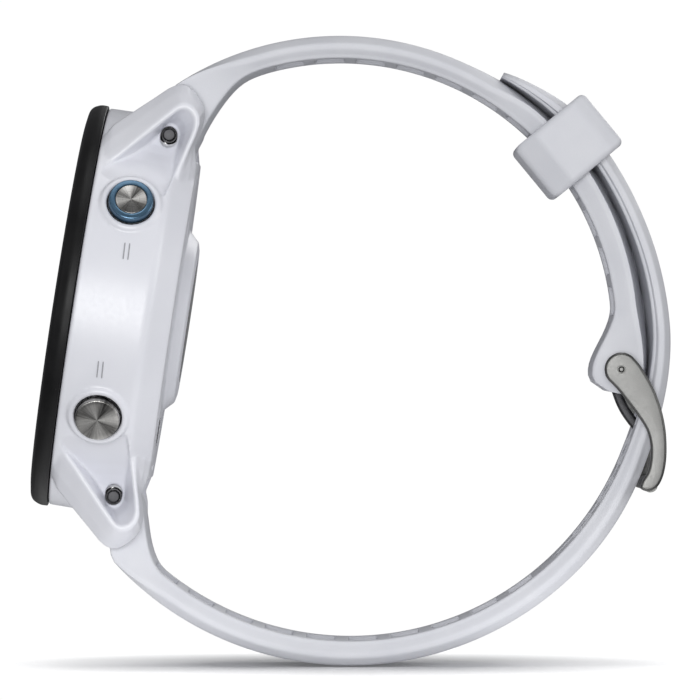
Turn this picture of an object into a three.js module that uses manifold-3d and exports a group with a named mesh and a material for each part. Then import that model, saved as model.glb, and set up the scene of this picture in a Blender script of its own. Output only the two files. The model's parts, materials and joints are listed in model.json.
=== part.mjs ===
// A GPS running watch, closed on its silicone band and standing on the lowest point of the band.
// Millimetres. The dial faces -Y, twelve o'clock points up (+Z) and the three o'clock side faces +X.
// The case parts are drawn in the case's own frame: x to three o'clock, y to twelve o'clock and z out
// of the dial, with z = 0 at the front of the bezel. The band parts are drawn in the watch's frame.
import * as THREE from "three";
import { mergeVertices } from "three/addons/utils/BufferGeometryUtils.js";
import Module from "manifold-3d";

const wasm = await Module();
wasm.setup();

// ---- Driving dimensions ----------------------------------------------------------------------

const BOX_SHIFT = new THREE.Vector3(0.5, 0.12, -0.005); // puts the origin under the middle of the box
const CLEARANCE = 0.3; // between neighbouring pieces
const CASE_TILT = THREE.MathUtils.degToRad(8.75); // the dial leans back by this much
const CASE_POSITION = new THREE.Vector3(0, -33.4, 41.55);

const BEZEL_RADIUS = 23.25;
const BEZEL_DEPTH = 2.4;
const LENS_RADIUS = 18.6;
const CASE_RADIUS = 23.1;
const CAVITY_RADIUS = 20.5;
const CAVITY_STEP = 6.4; // depth at which the flats that clear the spring bars begin
const CAVITY_FLAT = 16.6; // half height between those flats
const BEVEL_START = 10.8; // depth at which the side turns in towards the back
const BACK_DEPTH = 13.5;
const BACK_RADIUS = 20.4;
const BACK_OPENING = 17.3;
const LEDGE_RADIUS = 13.6;
const LEDGE_DEPTH = 10.9;
const LEDGE_BACK = 11.9;
const SENSOR_DEPTH = 15.05;
const SENSOR_RADIUS = 9;

const LUG_HALF_WIDTH = 15.8;
const LUG_GAP = 11.2; // half the space between the lugs
const LUG_POCKET_FLOOR = 12.7;
const BAR_DEPTH = 9.8;
const BAR_HEIGHT = 20.8;
const BAR_RADIUS = 0.9;
const BAR_TIP_RADIUS = 0.7;
const BAR_TIP_REACH = 12.4;
const ROOT_RADIUS = 2.6; // band root round the spring bar

const BUTTON_DEPTH = 6.9;
const BUTTON_FACE = 23.5; // radius at which a button's boss ends
const BUTTON_BORE = 2.72;
const BUTTON_RADIUS = 2.39;
const BUTTON_PROUD = 0.75;
const STEM_RADIUS = 0.75;
const STEM_LENGTH = 3.9;

const UPPER_CENTRE = new THREE.Vector2(-1.15, 37.9); // arc of the buckle half of the band
const UPPER_INNER = 31.5;
const UPPER_THICKNESS = 2.75;
const LOWER_CENTRE = new THREE.Vector2(0, 36.75); // arc of the half with the holes
const LOWER_INNER = 33.75;
const LOWER_THICKNESS = 3;
const TAIL_THICKNESS = 2.1;
const BAND_WIDTH_LUG = 21.6;
const BAND_WIDTH_BUCKLE = 20;
const HOLE_PITCH_DEG = 8.24;
const HOLE_WIDTH = 3;
const HOLE_LENGTH = 4;
const HOLE_FIRST_DEG = -41.9;
const HOLE_COUNT = 12;
const PIN_POSITION = new THREE.Vector2(30.85, 33.95);
const PIN_RADIUS = 0.75;
const BUCKLE_BAR_POSITION = new THREE.Vector2(34.15, 20.8);
const BUCKLE_BAR_RADIUS = 0.85;
const BUCKLE_INSIDE = 10.35; // half the space between the buckle's arms
const BUCKLE_ARM = 1.7;
const KEEPER_ANGLE_DEG = 39.5;
const KEEPER_LENGTH = 7.4;

// ---- Helpers ---------------------------------------------------------------------------------

const deg = THREE.MathUtils.degToRad;
const smooth = (t) => THREE.MathUtils.smoothstep(t, 0, 1);

// A closed geometry as a solid, with its faces turned outwards.
function solid(geometry) {
  const bare = geometry.clone();
  bare.deleteAttribute("normal");
  bare.deleteAttribute("uv");
  const merged = mergeVertices(bare, 1e-4);
  const vertProperties = new Float32Array(merged.attributes.position.array);
  const triVerts = new Uint32Array(merged.index.array);
  const first = new wasm.Manifold(new wasm.Mesh({ numProp: 3, vertProperties, triVerts }));
  if (first.volume() > 0) return first;
  for (let i = 0; i < triVerts.length; i += 3) {
    [triVerts[i + 1], triVerts[i + 2]] = [triVerts[i + 2], triVerts[i + 1]];
  }
  return new wasm.Manifold(new wasm.Mesh({ numProp: 3, vertProperties, triVerts }));
}

function geometryOf(body) {
  const mesh = body.getMesh();
  const geometry = new THREE.BufferGeometry();
  geometry.setAttribute("position", new THREE.BufferAttribute(new Float32Array(mesh.vertProperties), 3));
  geometry.setIndex(new THREE.BufferAttribute(new Uint32Array(mesh.triVerts), 1));
  geometry.computeVertexNormals();
  return geometry;
}

const join = (...bodies) => bodies.reduce((sum, body) => sum.add(body));
const cut = (base, ...tools) => tools.reduce((rest, tool) => rest.subtract(tool), base);

// A turned solid about z. The profile is a list of [radius, depth] pairs, depth running towards -z.
function turned(profile, segments = 48) {
  const points = profile.map(([radius, depth]) => new THREE.Vector2(radius, -depth));
  return solid(new THREE.LatheGeometry(points, segments).rotateX(Math.PI / 2));
}

const disc = (radius, from, to, segments) =>
  turned([[0, from], [radius, from], [radius, to], [0, to]], segments);

const ring = (inner, outer, from, to, segments) =>
  turned([[inner, from], [outer, from], [outer, to], [inner, to], [inner, from]], segments);

const move = (body, x, y, z) => body.translate([x, y, z]);

const block = (x, y, z) => solid(new THREE.BoxGeometry(x, y, z));

// An outline drawn as (depth, height) in the case frame, swept along x between two values.
function caseSlab(shape, from, to) {
  const options = { depth: to - from, bevelEnabled: false, curveSegments: 7 };
  return solid(new THREE.ExtrudeGeometry(shape, options).translate(0, 0, from).rotateY(Math.PI / 2));
}

// An outline drawn as (Y, Z) in the watch frame, swept along X between two values.
function bandSlab(shape, from, to) {
  const turn = new THREE.Matrix4().makeBasis(
    new THREE.Vector3(0, 1, 0),
    new THREE.Vector3(0, 0, 1),
    new THREE.Vector3(1, 0, 0),
  );
  const options = { depth: to - from, bevelEnabled: false, curveSegments: 7 };
  return solid(new THREE.ExtrudeGeometry(shape, options).translate(0, 0, from).applyMatrix4(turn));
}

// A rod along x, centred on (y, z).
function rod(radius, from, to, y, z, segments = 16) {
  const geometry = new THREE.CylinderGeometry(radius, radius, to - from, segments);
  return solid(geometry.rotateZ(Math.PI / 2).translate((from + to) / 2, y, z));
}

// Skin through a row of sections that each hold the same number of points, closed at both ends.
function loft(sections) {
  const count = sections[0].length;
  const positions = sections.flat().flatMap((point) => [point.x, point.y, point.z]);
  const index = [];
  for (let row = 0; row < sections.length - 1; row += 1) {
    for (let i = 0; i < count; i += 1) {
      const next = (i + 1) % count;
      const a = row * count + i;
      const b = row * count + next;
      index.push(a, b, b + count, a, b + count, a + count);
    }
  }
  const last = (sections.length - 1) * count;
  for (let i = 1; i < count - 1; i += 1) {
    index.push(0, i + 1, i, last, last + i, last + i + 1);
  }
  const geometry = new THREE.BufferGeometry();
  geometry.setAttribute("position", new THREE.Float32BufferAttribute(positions, 3));
  geometry.setIndex(index);
  return solid(geometry);
}

function smoothOutline(points) {
  const shape = new THREE.Shape();
  shape.moveTo(...points[0]);
  points.slice(1).forEach((point) => shape.lineTo(...point));
  return shape;
}

// A helical spring about z, from z = 0 up to its height.
function coil(radius, wire, turns, height) {
  class Helix extends THREE.Curve {
    getPoint(t, target = new THREE.Vector3()) {
      const angle = t * turns * 2 * Math.PI;
      return target.set(radius * Math.cos(angle), radius * Math.sin(angle), wire + t * (height - 2 * wire));
    }
  }
  const section = new THREE.Shape().absarc(0, 0, wire, 0, 2 * Math.PI);
  const options = { steps: Math.ceil(turns * 9), curveSegments: 3, extrudePath: new Helix() };
  return solid(new THREE.ExtrudeGeometry(section, options));
}

const finish = (color, roughness, metalness = 0, opacity = 1) =>
  new THREE.MeshStandardMaterial({ color, roughness, metalness, opacity, transparent: opacity < 1 });

const white = finish(0xe6e6ea, 0.45);
const silicone = finish(0xc8cad0, 0.7);
const black = finish(0x1e1e1e, 0.5);
const steel = finish(0x93938f, 0.35, 0.9);
const blue = finish(0x5f83a6, 0.35, 0.8);
const rubber = finish(0x26262a, 0.8);
const glass = finish(0x0d0f12, 0.08, 0, 0.6);
const screen = finish(0x101418, 0.3);
const boardGreen = finish(0x1f4d3a, 0.6);
const foil = finish(0x6f7378, 0.4, 0.6);
const copper = finish(0xb98a45, 0.3, 0.9);

function piece(parent, name, body, material) {
  const mesh = new THREE.Mesh(geometryOf(body), material);
  mesh.name = name;
  parent.add(mesh);
  return mesh;
}

const watch = new THREE.Group();
watch.position.copy(BOX_SHIFT);
const caseGroup = new THREE.Group();
caseGroup.position.copy(CASE_POSITION);
caseGroup.rotation.x = Math.PI / 2 - CASE_TILT;
watch.add(caseGroup);

// The place in the watch frame of a (depth, height) point on the case's middle plane.
function onBand(depth, height) {
  const y = CASE_POSITION.y + depth * Math.cos(CASE_TILT) + height * Math.sin(CASE_TILT);
  const z = CASE_POSITION.z - depth * Math.sin(CASE_TILT) + height * Math.cos(CASE_TILT);
  return new THREE.Vector2(y, z);
}

// ---- Buttons ---------------------------------------------------------------------------------

// Where each button sits on the rim: the angle of its place and the angle that its stem points in.
const BUTTONS = {
  start_button: { place: 32, aim: 27, material: blue },
  back_button: { place: -31, aim: -27, material: steel },
  light_button: { place: 149, aim: 153, material: steel },
  up_button: { place: 180, aim: 180, material: steel },
  down_button: { place: 211, aim: 207, material: steel },
};

// Turns a solid drawn about z, with z = 0 on the boss's face, onto the rim of the case.
function onRim(body, { place, aim }) {
  const turn = new THREE.Matrix4()
    .makeRotationZ(deg(aim))
    .multiply(new THREE.Matrix4().makeRotationY(Math.PI / 2));
  turn.setPosition(BUTTON_FACE * Math.cos(deg(place)), BUTTON_FACE * Math.sin(deg(place)), -BUTTON_DEPTH);
  return body.transform(turn.elements);
}

const BORE_FLOOR = 1.5; // depth of the wide part of a button's bore
const CAP_THICKNESS = 1;

function buttonBoss(spot) {
  return onRim(turned([[0, 2.4], [3.9, 2.4], [3.45, 0], [0, 0]], 24), spot);
}

function buttonBore(spot) {
  const stemHole = STEM_RADIUS + 0.1;
  const profile = [
    [0, 6], [stemHole, 6], [stemHole, BORE_FLOOR], [BUTTON_BORE, BORE_FLOOR], [BUTTON_BORE, -3], [0, -3],
  ];
  return onRim(turned(profile, 20), spot);
}

function buttonPieces(name, spot) {
  const top = -BUTTON_PROUD;
  const under = top + CAP_THICKNESS;
  const clipTop = 3.35;
  const groove = 0.5;
  const profile = [
    [0, top],
    [BUTTON_RADIUS - 0.2, top],
    [BUTTON_RADIUS, top + 0.2],
    [BUTTON_RADIUS, under],
    [STEM_RADIUS, under],
    [STEM_RADIUS, clipTop - 0.05],
    [groove, clipTop - 0.05],
    [groove, clipTop + 0.35],
    [STEM_RADIUS, clipTop + 0.35],
    [STEM_RADIUS, STEM_LENGTH],
    [0, STEM_LENGTH],
  ];
  let cap = turned(profile, 16);
  if (name === "start_button") {
    const inlayRadius = 1.85;
    cap = cut(cap, disc(inlayRadius, top - 1, top + 0.35, 16));
    piece(caseGroup, "start_inlay", onRim(disc(inlayRadius - 0.05, top - 0.02, top + 0.3, 16), spot), steel);
  }
  piece(caseGroup, name, onRim(cap, spot), spot.material);
  const washer = ring(0.6, 1.35, clipTop, clipTop + 0.25, 10);
  const mouth = move(block(1.4, 0.7, 2), 1, 0, -clipTop);
  piece(caseGroup, name + "_clip", onRim(cut(washer, mouth), spot), steel);
  const sealRing = solid(new THREE.TorusGeometry(1.18, 0.28, 5, 12).translate(0, 0, -BORE_FLOOR + 0.34));
  piece(caseGroup, name + "_seal", onRim(sealRing, spot), rubber);
  const springHeight = BORE_FLOOR - under - 0.1;
  const spring = move(coil(1.95, 0.14, 2, springHeight), 0, 0, -BORE_FLOOR + 0.05);
  piece(caseGroup, name + "_spring", onRim(spring, spot), steel);
}

// ---- Case ------------------------------------------------------------------------------------

// The lug block as (depth, height): a ramp off the case front, a round end over the spring bar and
// the flat back. `side` is 1 at twelve o'clock and -1 at six o'clock.
function lugOutline(side) {
  const shape = new THREE.Shape();
  shape.moveTo(2.8, side * 12);
  shape.lineTo(2.8, side * 19.6);
  shape.quadraticCurveTo(3.4, side * 21.1, 5.3, side * 22.75);
  shape.lineTo(8.2, side * 25.4);
  shape.quadraticCurveTo(10, side * 27.2, 11.8, side * 26.1);
  shape.bezierCurveTo(12.9, side * 25.3, 13.7, side * 23.6, 13.5, side * 21.6);
  shape.lineTo(12.75, side * 20);
  shape.lineTo(13.2, side * 19);
  shape.lineTo(BACK_DEPTH, side * 16.5);
  shape.lineTo(BACK_DEPTH, side * 10);
  return shape;
}

// The lugs as seen from the front, narrowing towards their rounded ends.
function lugFrontOutline(side) {
  const shape = new THREE.Shape();
  shape.moveTo(-LUG_HALF_WIDTH, side * 8);
  shape.lineTo(-LUG_HALF_WIDTH, side * 17);
  shape.quadraticCurveTo(-LUG_HALF_WIDTH + 0.4, side * 24, -LUG_HALF_WIDTH + 2.6, side * 27);
  shape.lineTo(LUG_HALF_WIDTH - 2.6, side * 27);
  shape.quadraticCurveTo(LUG_HALF_WIDTH - 0.4, side * 24, LUG_HALF_WIDTH, side * 17);
  shape.lineTo(LUG_HALF_WIDTH, side * 8);
  return shape;
}

// The pocket in a lug's outer face, a triangle with a round tip over the end of the spring bar.
function pocketOutline(side) {
  const shape = new THREE.Shape();
  shape.moveTo(3.9, side * 15.6);
  shape.lineTo(10.2, side * 23.1);
  shape.quadraticCurveTo(11.9, side * 24, 12.75, side * 22);
  shape.lineTo(10.9, side * 13.4);
  shape.lineTo(7, side * 12);
  return shape;
}

// The room between the lugs in which the band's root turns.
function rootRoom(side) {
  const room = new THREE.Shape();
  room.absarc(BAR_DEPTH, side * BAR_HEIGHT, ROOT_RADIUS + CLEARANCE, 0, 2 * Math.PI);
  const way = smoothOutline([
    [BAR_DEPTH - 3.2, side * BAR_HEIGHT],
    [BAR_DEPTH - 4.1, side * 30],
    [18, side * 30],
    [18, side * 18.4],
    [BAR_DEPTH, side * (BAR_HEIGHT - 2.6)],
  ]);
  return join(caseSlab(room, -LUG_GAP, LUG_GAP), caseSlab(way, -LUG_GAP, LUG_GAP));
}

function lugs(side) {
  const settings = { depth: 30, bevelEnabled: false, curveSegments: 6 };
  const front = new THREE.ExtrudeGeometry(lugFrontOutline(side), settings);
  let body = caseSlab(lugOutline(side), -20, 20).intersect(solid(front.translate(0, 0, -25)));
  [-1, 1].forEach((hand) => {
    const near = Math.min(hand * LUG_POCKET_FLOOR, hand * 20);
    const far = Math.max(hand * LUG_POCKET_FLOOR, hand * 20);
    body = cut(body, caseSlab(pocketOutline(side), near, far));
  });
  return body;
}

function caseBody() {
  const shell = turned([
    [0, BEZEL_DEPTH + 0.1],
    [CASE_RADIUS, BEZEL_DEPTH + 0.1],
    [CASE_RADIUS, BEVEL_START],
    [BACK_RADIUS, BACK_DEPTH],
    [0, BACK_DEPTH],
  ], 64);
  const front = disc(CAVITY_RADIUS, -1, CAVITY_STEP, 44);
  const middle = disc(CAVITY_RADIUS, CAVITY_STEP - 1, LEDGE_DEPTH, 44)
    .intersect(move(block(60, 2 * CAVITY_FLAT, 40), 0, 0, 0));
  const throat = disc(LEDGE_RADIUS, LEDGE_DEPTH - 1, 20, 32);
  const opening = disc(BACK_OPENING, LEDGE_BACK, 20, 40);
  const gasketGroove = ring(16.05, 17.05, LEDGE_BACK - 0.45, LEDGE_BACK + 1, 32);
  let body = join(shell, lugs(1), lugs(-1));
  Object.values(BUTTONS).forEach((spot) => {
    body = join(body, buttonBoss(spot));
  });
  body = cut(body, front, middle, throat, opening, gasketGroove, rootRoom(1), rootRoom(-1));
  [1, -1].forEach((side) => {
    body = cut(body, rod(0.95, -20, 20, side * BAR_HEIGHT, -BAR_DEPTH, 16));
  });
  Object.values(BUTTONS).forEach((spot) => {
    body = cut(body, buttonBore(spot));
  });
  screwSpots().forEach(([x, y]) => {
    body = cut(body, move(disc(0.6, LEDGE_DEPTH - 1, 20, 12), x, y, 0));
  });
  return body;
}

function screwSpots() {
  const radius = 14.9;
  return [45, 135, 225, 315].map((angle) => [radius * Math.cos(deg(angle)), radius * Math.sin(deg(angle))]);
}

function bezel() {
  return turned([
    [LENS_RADIUS + CLEARANCE, 0.15],
    [21.3, 0],
    [22.6, 0.2],
    [23.1, 0.7],
    [BEZEL_RADIUS, 1.3],
    [BEZEL_RADIUS, 2.1],
    [BEZEL_RADIUS - 0.3, BEZEL_DEPTH],
    [17.7, BEZEL_DEPTH],
    [17.7, 1.6],
    [LENS_RADIUS + CLEARANCE, 1.6],
    [LENS_RADIUS + CLEARANCE, 0.15],
  ], 56);
}

function lens() {
  return turned([[0, 0.1], [LENS_RADIUS - 0.25, 0.1], [LENS_RADIUS, 0.35], [LENS_RADIUS, 1.3], [0, 1.3]], 48);
}

function mainBoard() {
  const topNotch = move(block(30, 6, 10), 0, 20.5, -5);
  const motorHole = move(disc(4.4, 4, 6, 24), 0, -12.4, 0);
  const plate = cut(disc(19.2, 4.6, 5.3, 36), topNotch, motorHole);
  const chips = [
    [6.5, 6.5, -9.5, 10.5],
    [5, 4, -2.4, 12.4],
    [4, 4, 9.6, -11],
  ];
  const parts = chips.map(([wide, tall, x, y]) => move(block(wide, tall, 1.1), x, y, -5.35 + 0.05));
  const switches = Object.values(BUTTONS).map(({ place, aim }) => {
    const inside = BUTTON_FACE - STEM_LENGTH - 2.05;
    const body = new THREE.BoxGeometry(2, 3, 3).rotateZ(deg(aim));
    return solid(body.translate(inside * Math.cos(deg(place)), inside * Math.sin(deg(place)), -6.7));
  });
  return join(plate, ...parts, ...switches);
}

function gpsAntenna() {
  const band = ring(19.45, 20.2, 4.55, 6.2, 40);
  const half = move(block(27, 30, 20), 0, 20, 0);
  const foot = move(block(1.4, 2.2, 0.6), 8.5, 16.9, -5.9);
  return join(band.intersect(half), foot);
}

function backCover() {
  const plate = turned([
    [0, LEDGE_BACK + 0.25],
    [BACK_OPENING - CLEARANCE, LEDGE_BACK + 0.25],
    [BACK_OPENING - CLEARANCE, BACK_DEPTH - 0.25],
    [BACK_OPENING - CLEARANCE - 0.25, BACK_DEPTH],
    [10.2, BACK_DEPTH],
    [SENSOR_RADIUS, SENSOR_DEPTH - 0.05],
    [0, SENSOR_DEPTH - 0.05],
  ], 40);
  const windowSeat = disc(7.4, 13.6, 20, 28);
  const windowHole = disc(6.2, 10, 20, 20);
  const portSeat = move(block(7.4, 3.2, 6), 0, -12.9, -BACK_DEPTH);
  let body = cut(plate, windowSeat, windowHole, portSeat);
  screwSpots().forEach(([x, y]) => {
    const seat = turned([[0, 11], [0.65, 11], [0.65, 12.75], [1.3, 12.75], [1.3, 20], [0, 20]], 10);
    body = cut(body, move(seat, x, y, 0));
  });
  return body;
}

function backScrew([x, y]) {
  const head = turned([[0, 11], [0.45, 11], [0.45, 12.85], [1.1, 12.85], [1.1, 13.4], [0, 13.4]], 10);
  const socket = turned([[0, 13.05], [0.5, 13.05], [0.5, 20], [0, 20]], 6);
  return move(cut(head, socket), x, y, 0);
}

function chargePort() {
  const body = move(block(7, 2.8, 1.2), 0, -12.9, -12.85);
  return contactSpots().reduce((rest, x) => cut(rest, move(disc(0.55, 10, 20, 10), x, -12.9, 0)), body);
}

const contactSpots = () => [-2.4, -0.8, 0.8, 2.4];

piece(caseGroup, "case_body", caseBody(), white);
piece(caseGroup, "bezel_ring", bezel(), black);
piece(caseGroup, "front_lens", lens(), glass);
piece(caseGroup, "display_panel", disc(17.3, 1.6, 2.8, 36), screen);
piece(caseGroup, "display_chassis", cut(disc(19.9, 3.2, 4.2, 40), move(block(9, 3, 10), 0, -16, -3.5)), foil);
piece(caseGroup, "main_board", mainBoard(), boardGreen);
piece(caseGroup, "gps_antenna", gpsAntenna(), copper);
piece(caseGroup, "battery", move(block(21, 17, 4), 0, 3.5, -8.5), foil);
piece(caseGroup, "case_gasket", ring(16.2, 16.9, LEDGE_BACK - 0.4, LEDGE_BACK + 0.15, 32), rubber);
piece(caseGroup, "back_cover", backCover(), white);
piece(caseGroup, "sensor_window", disc(7.2, 13.7, SENSOR_DEPTH, 28), glass);
piece(caseGroup, "sensor_board", disc(7.6, 11.2, 12, 24), boardGreen);
piece(caseGroup, "charge_port", chargePort(), rubber);
contactSpots().forEach((x, i) => {
  piece(caseGroup, "charge_contact_" + (i + 1), move(disc(0.45, 12.3, 13.2, 8), x, -12.9, 0), copper);
});
screwSpots().forEach((spot, i) => {
  piece(caseGroup, "back_screw_" + (i + 1), backScrew(spot), steel);
});
Object.entries(BUTTONS).forEach(([name, spot]) => buttonPieces(name, spot));

// The vibration motor: a can with a fixed post, and the half-round weight that spins on the post.
const MOTOR_Y = -11;
const motorCan = join(
  cut(disc(3.9, 5.9, 8.9, 20), disc(3.5, 5, 8.5, 20)),
  disc(0.4, 6, 8.8, 10),
);
piece(caseGroup, "motor_can", move(motorCan, 0, MOTOR_Y, 0), steel);
const sector = new THREE.Shape().absarc(0, 0, 3.2, 0, Math.PI);
const weightSettings = { depth: 1.6, bevelEnabled: false, curveSegments: 12 };
const weightPlate = solid(new THREE.ExtrudeGeometry(sector, weightSettings));
const motorWeight = cut(join(move(weightPlate, 0, 0, -8.2), disc(0.9, 6.6, 8.2, 14)), disc(0.5, 5, 10, 10));
piece(caseGroup, "motor_weight", move(motorWeight, 0, MOTOR_Y, 0), foil);

// ---- Spring bars -----------------------------------------------------------------------------

const TUBE_HALF = 10.3;
const TIP_ROOT = 7.8;

Object.entries({ upper: 1, lower: -1 }).forEach(([name, side]) => {
  const y = side * BAR_HEIGHT;
  const tubeBore = rod(0.76, -12, 12, y, -BAR_DEPTH, 14);
  const tube = cut(rod(BAR_RADIUS, -TUBE_HALF, TUBE_HALF, y, -BAR_DEPTH, 14), tubeBore);
  piece(caseGroup, name + "_bar_tube", tube, steel);
  [["right", 1], ["left", -1]].forEach(([hand, sign]) => {
    const ends = [sign * TIP_ROOT, sign * BAR_TIP_REACH].sort((a, b) => a - b);
    const tip = rod(BAR_TIP_RADIUS, ends[0], ends[1], y, -BAR_DEPTH, 12);
    piece(caseGroup, name + "_bar_tip_" + hand, tip, steel);
  });
  const length = 2 * TIP_ROOT - 0.4;
  const spring = coil(0.5, 0.13, 6, length)
    .transform(
      new THREE.Matrix4().makeRotationY(Math.PI / 2).setPosition(-length / 2, y, -BAR_DEPTH).elements,
    );
  piece(caseGroup, name + "_bar_spring", spring, steel);
});

// ---- Band ------------------------------------------------------------------------------------

// One section of the band: flat inside, upright sides and a sloped, crowned outside.
function bandSection(centre, angle, inner, outer, width) {
  const half = width / 2;
  const side = inner + (outer - inner) * 0.5;
  const outline = [
    [-half + 0.4, inner],
    [half - 0.4, inner],
    [half, inner + 0.4],
    [half, side],
    [half * 0.6, outer - 0.15],
    [0, outer],
    [-half * 0.6, outer - 0.15],
    [-half, side],
    [-half, inner + 0.4],
  ];
  return outline.map(([x, radius]) => new THREE.Vector3(
    x,
    centre.x + radius * Math.cos(angle),
    centre.y + radius * Math.sin(angle),
  ));
}

function sweepBand(centre, fromDeg, toDeg, steps, sizes) {
  const sections = [];
  for (let i = 0; i <= steps; i += 1) {
    const angle = fromDeg + ((toDeg - fromDeg) * i) / steps;
    const { inner, outer, width } = sizes(angle);
    sections.push(bandSection(centre, deg(angle), inner, outer, width));
  }
  return loft(sections);
}

// The barrel round the spring bar at a band's root.
function rootBarrel(side) {
  const bar = onBand(BAR_DEPTH, side * BAR_HEIGHT);
  const half = BAND_WIDTH_LUG / 2;
  return rod(ROOT_RADIUS, -half, half, bar.x, bar.y, 20);
}

function barBore(side) {
  const bar = onBand(BAR_DEPTH, side * BAR_HEIGHT);
  return rod(BAR_RADIUS + 0.2, -20, 20, bar.x, bar.y, 14);
}

const widthAt = (fraction) =>
  THREE.MathUtils.lerp(BAND_WIDTH_LUG, BAND_WIDTH_BUCKLE, smooth(fraction));

function upperStrap() {
  const endDeg = -11.7;
  const band = sweepBand(UPPER_CENTRE, 129.5, endDeg, 47, (angle) => {
    const flare = 0.4 * Math.log(1 + Math.exp((angle - 111) / 1.5));
    const root = smooth((angle - 123) / 7);
    const lobe = smooth((6.7 - angle) / 14.3);
    const corner = (Math.max(0, -8 - angle) / 3.7) ** 2;
    return {
      inner: UPPER_INNER - flare - 2.5 * lobe + 1.9 * corner,
      outer: UPPER_INNER + UPPER_THICKNESS - 1.7 * root + 0.9 * lobe - 0.9 * corner,
      width: widthAt((120 - angle) / 60),
    };
  });
  const bore = rod(PIN_RADIUS + 0.25, -20, 20, PIN_POSITION.x, PIN_POSITION.y, 14);
  const tongueSlot = move(block(3.4, 12, 9), 0, PIN_POSITION.x + 3.7, PIN_POSITION.y - 1.8);
  return cut(join(band, rootBarrel(1)), barBore(1), bore, tongueSlot);
}

// Inner radius of the half with the holes: a true arc that steps out to pass over the buckle half.
function lowerInner(angle) {
  const climb = smooth((angle + 22) / 26);
  const lift = smooth((angle - 20) / 34);
  return LOWER_INNER + 0.8 * climb + 0.5 * lift;
}

function lowerThickness(angle) {
  const thin = smooth((angle + 45) / 60);
  const tip = THREE.MathUtils.clamp((angle - 48) / 12.5, 0, 1);
  return THREE.MathUtils.lerp(THREE.MathUtils.lerp(LOWER_THICKNESS, TAIL_THICKNESS, thin), 0.7, tip);
}

function lowerStrap() {
  const tipDeg = 60.5;
  let band = sweepBand(LOWER_CENTRE, -145.5, tipDeg, 68, (angle) => {
    const flare = smooth((-129 - angle) / 16);
    const root = smooth((-137 - angle) / 8.5);
    return {
      inner: lowerInner(angle) - 4.1 * flare,
      outer: lowerInner(angle) + lowerThickness(angle) - 2.8 * root,
      width: widthAt((angle + 130) / 60) - 6 * THREE.MathUtils.clamp((angle - 55) / 6, 0, 1),
    };
  });
  for (let i = 0; i < HOLE_COUNT; i += 1) {
    const hole = new THREE.Shape();
    const straight = (HOLE_LENGTH - HOLE_WIDTH) / 2;
    hole.absarc(straight, 0, HOLE_WIDTH / 2, -Math.PI / 2, Math.PI / 2);
    hole.absarc(-straight, 0, HOLE_WIDTH / 2, Math.PI / 2, (3 * Math.PI) / 2);
    const punch = new THREE.ExtrudeGeometry(hole, { depth: 12, bevelEnabled: false, curveSegments: 4 });
    const angle = deg(HOLE_FIRST_DEG + i * HOLE_PITCH_DEG);
    const outward = new THREE.Vector3(0, Math.cos(angle), Math.sin(angle));
    const along = new THREE.Vector3(0, -Math.sin(angle), Math.cos(angle));
    const across = new THREE.Vector3().crossVectors(outward, along);
    const frame = new THREE.Matrix4().makeBasis(along, across, outward);
    const start = outward.clone().multiplyScalar(LOWER_INNER - 4);
    frame.setPosition(0, LOWER_CENTRE.x + start.y, LOWER_CENTRE.y + start.z);
    band = cut(band, solid(punch.applyMatrix4(frame)));
  }
  return cut(join(band, rootBarrel(-1)), barBore(-1));
}

// A frame about a point of the band: `out` runs away from the wrist and `along` follows the band.
function keeper() {
  const section = (inner, outer, half, corner) => {
    const shape = new THREE.Shape();
    shape.moveTo(-half + corner, inner);
    shape.lineTo(half - corner, inner);
    shape.quadraticCurveTo(half, inner, half, inner + corner);
    shape.lineTo(half, outer - corner);
    shape.quadraticCurveTo(half, outer, half - corner, outer);
    shape.lineTo(-half + corner, outer);
    shape.quadraticCurveTo(-half, outer, -half, outer - corner);
    shape.lineTo(-half, inner + corner);
    shape.quadraticCurveTo(-half, inner, -half + corner, inner);
    return shape;
  };
  const angle = deg(KEEPER_ANGLE_DEG);
  const outward = new THREE.Vector3(0, Math.cos(angle), Math.sin(angle));
  const along = new THREE.Vector3(0, Math.sin(angle), -Math.cos(angle));
  const frame = new THREE.Matrix4().makeBasis(new THREE.Vector3(1, 0, 0), outward, along.clone().negate());
  frame.setPosition(0, UPPER_CENTRE.x, UPPER_CENTRE.y);
  const slab = (shape, length) => {
    const settings = { depth: length, bevelEnabled: false, curveSegments: 5 };
    const geometry = new THREE.ExtrudeGeometry(shape, settings);
    return solid(geometry.translate(0, 0, -length / 2).applyMatrix4(frame));
  };
  const outside = slab(section(28.7, 38.85, 12.3, 1.6), KEEPER_LENGTH);
  const inside = slab(section(30.1, 37.5, 10.75, 0.8), 20);
  return cut(outside, inside);
}

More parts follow.
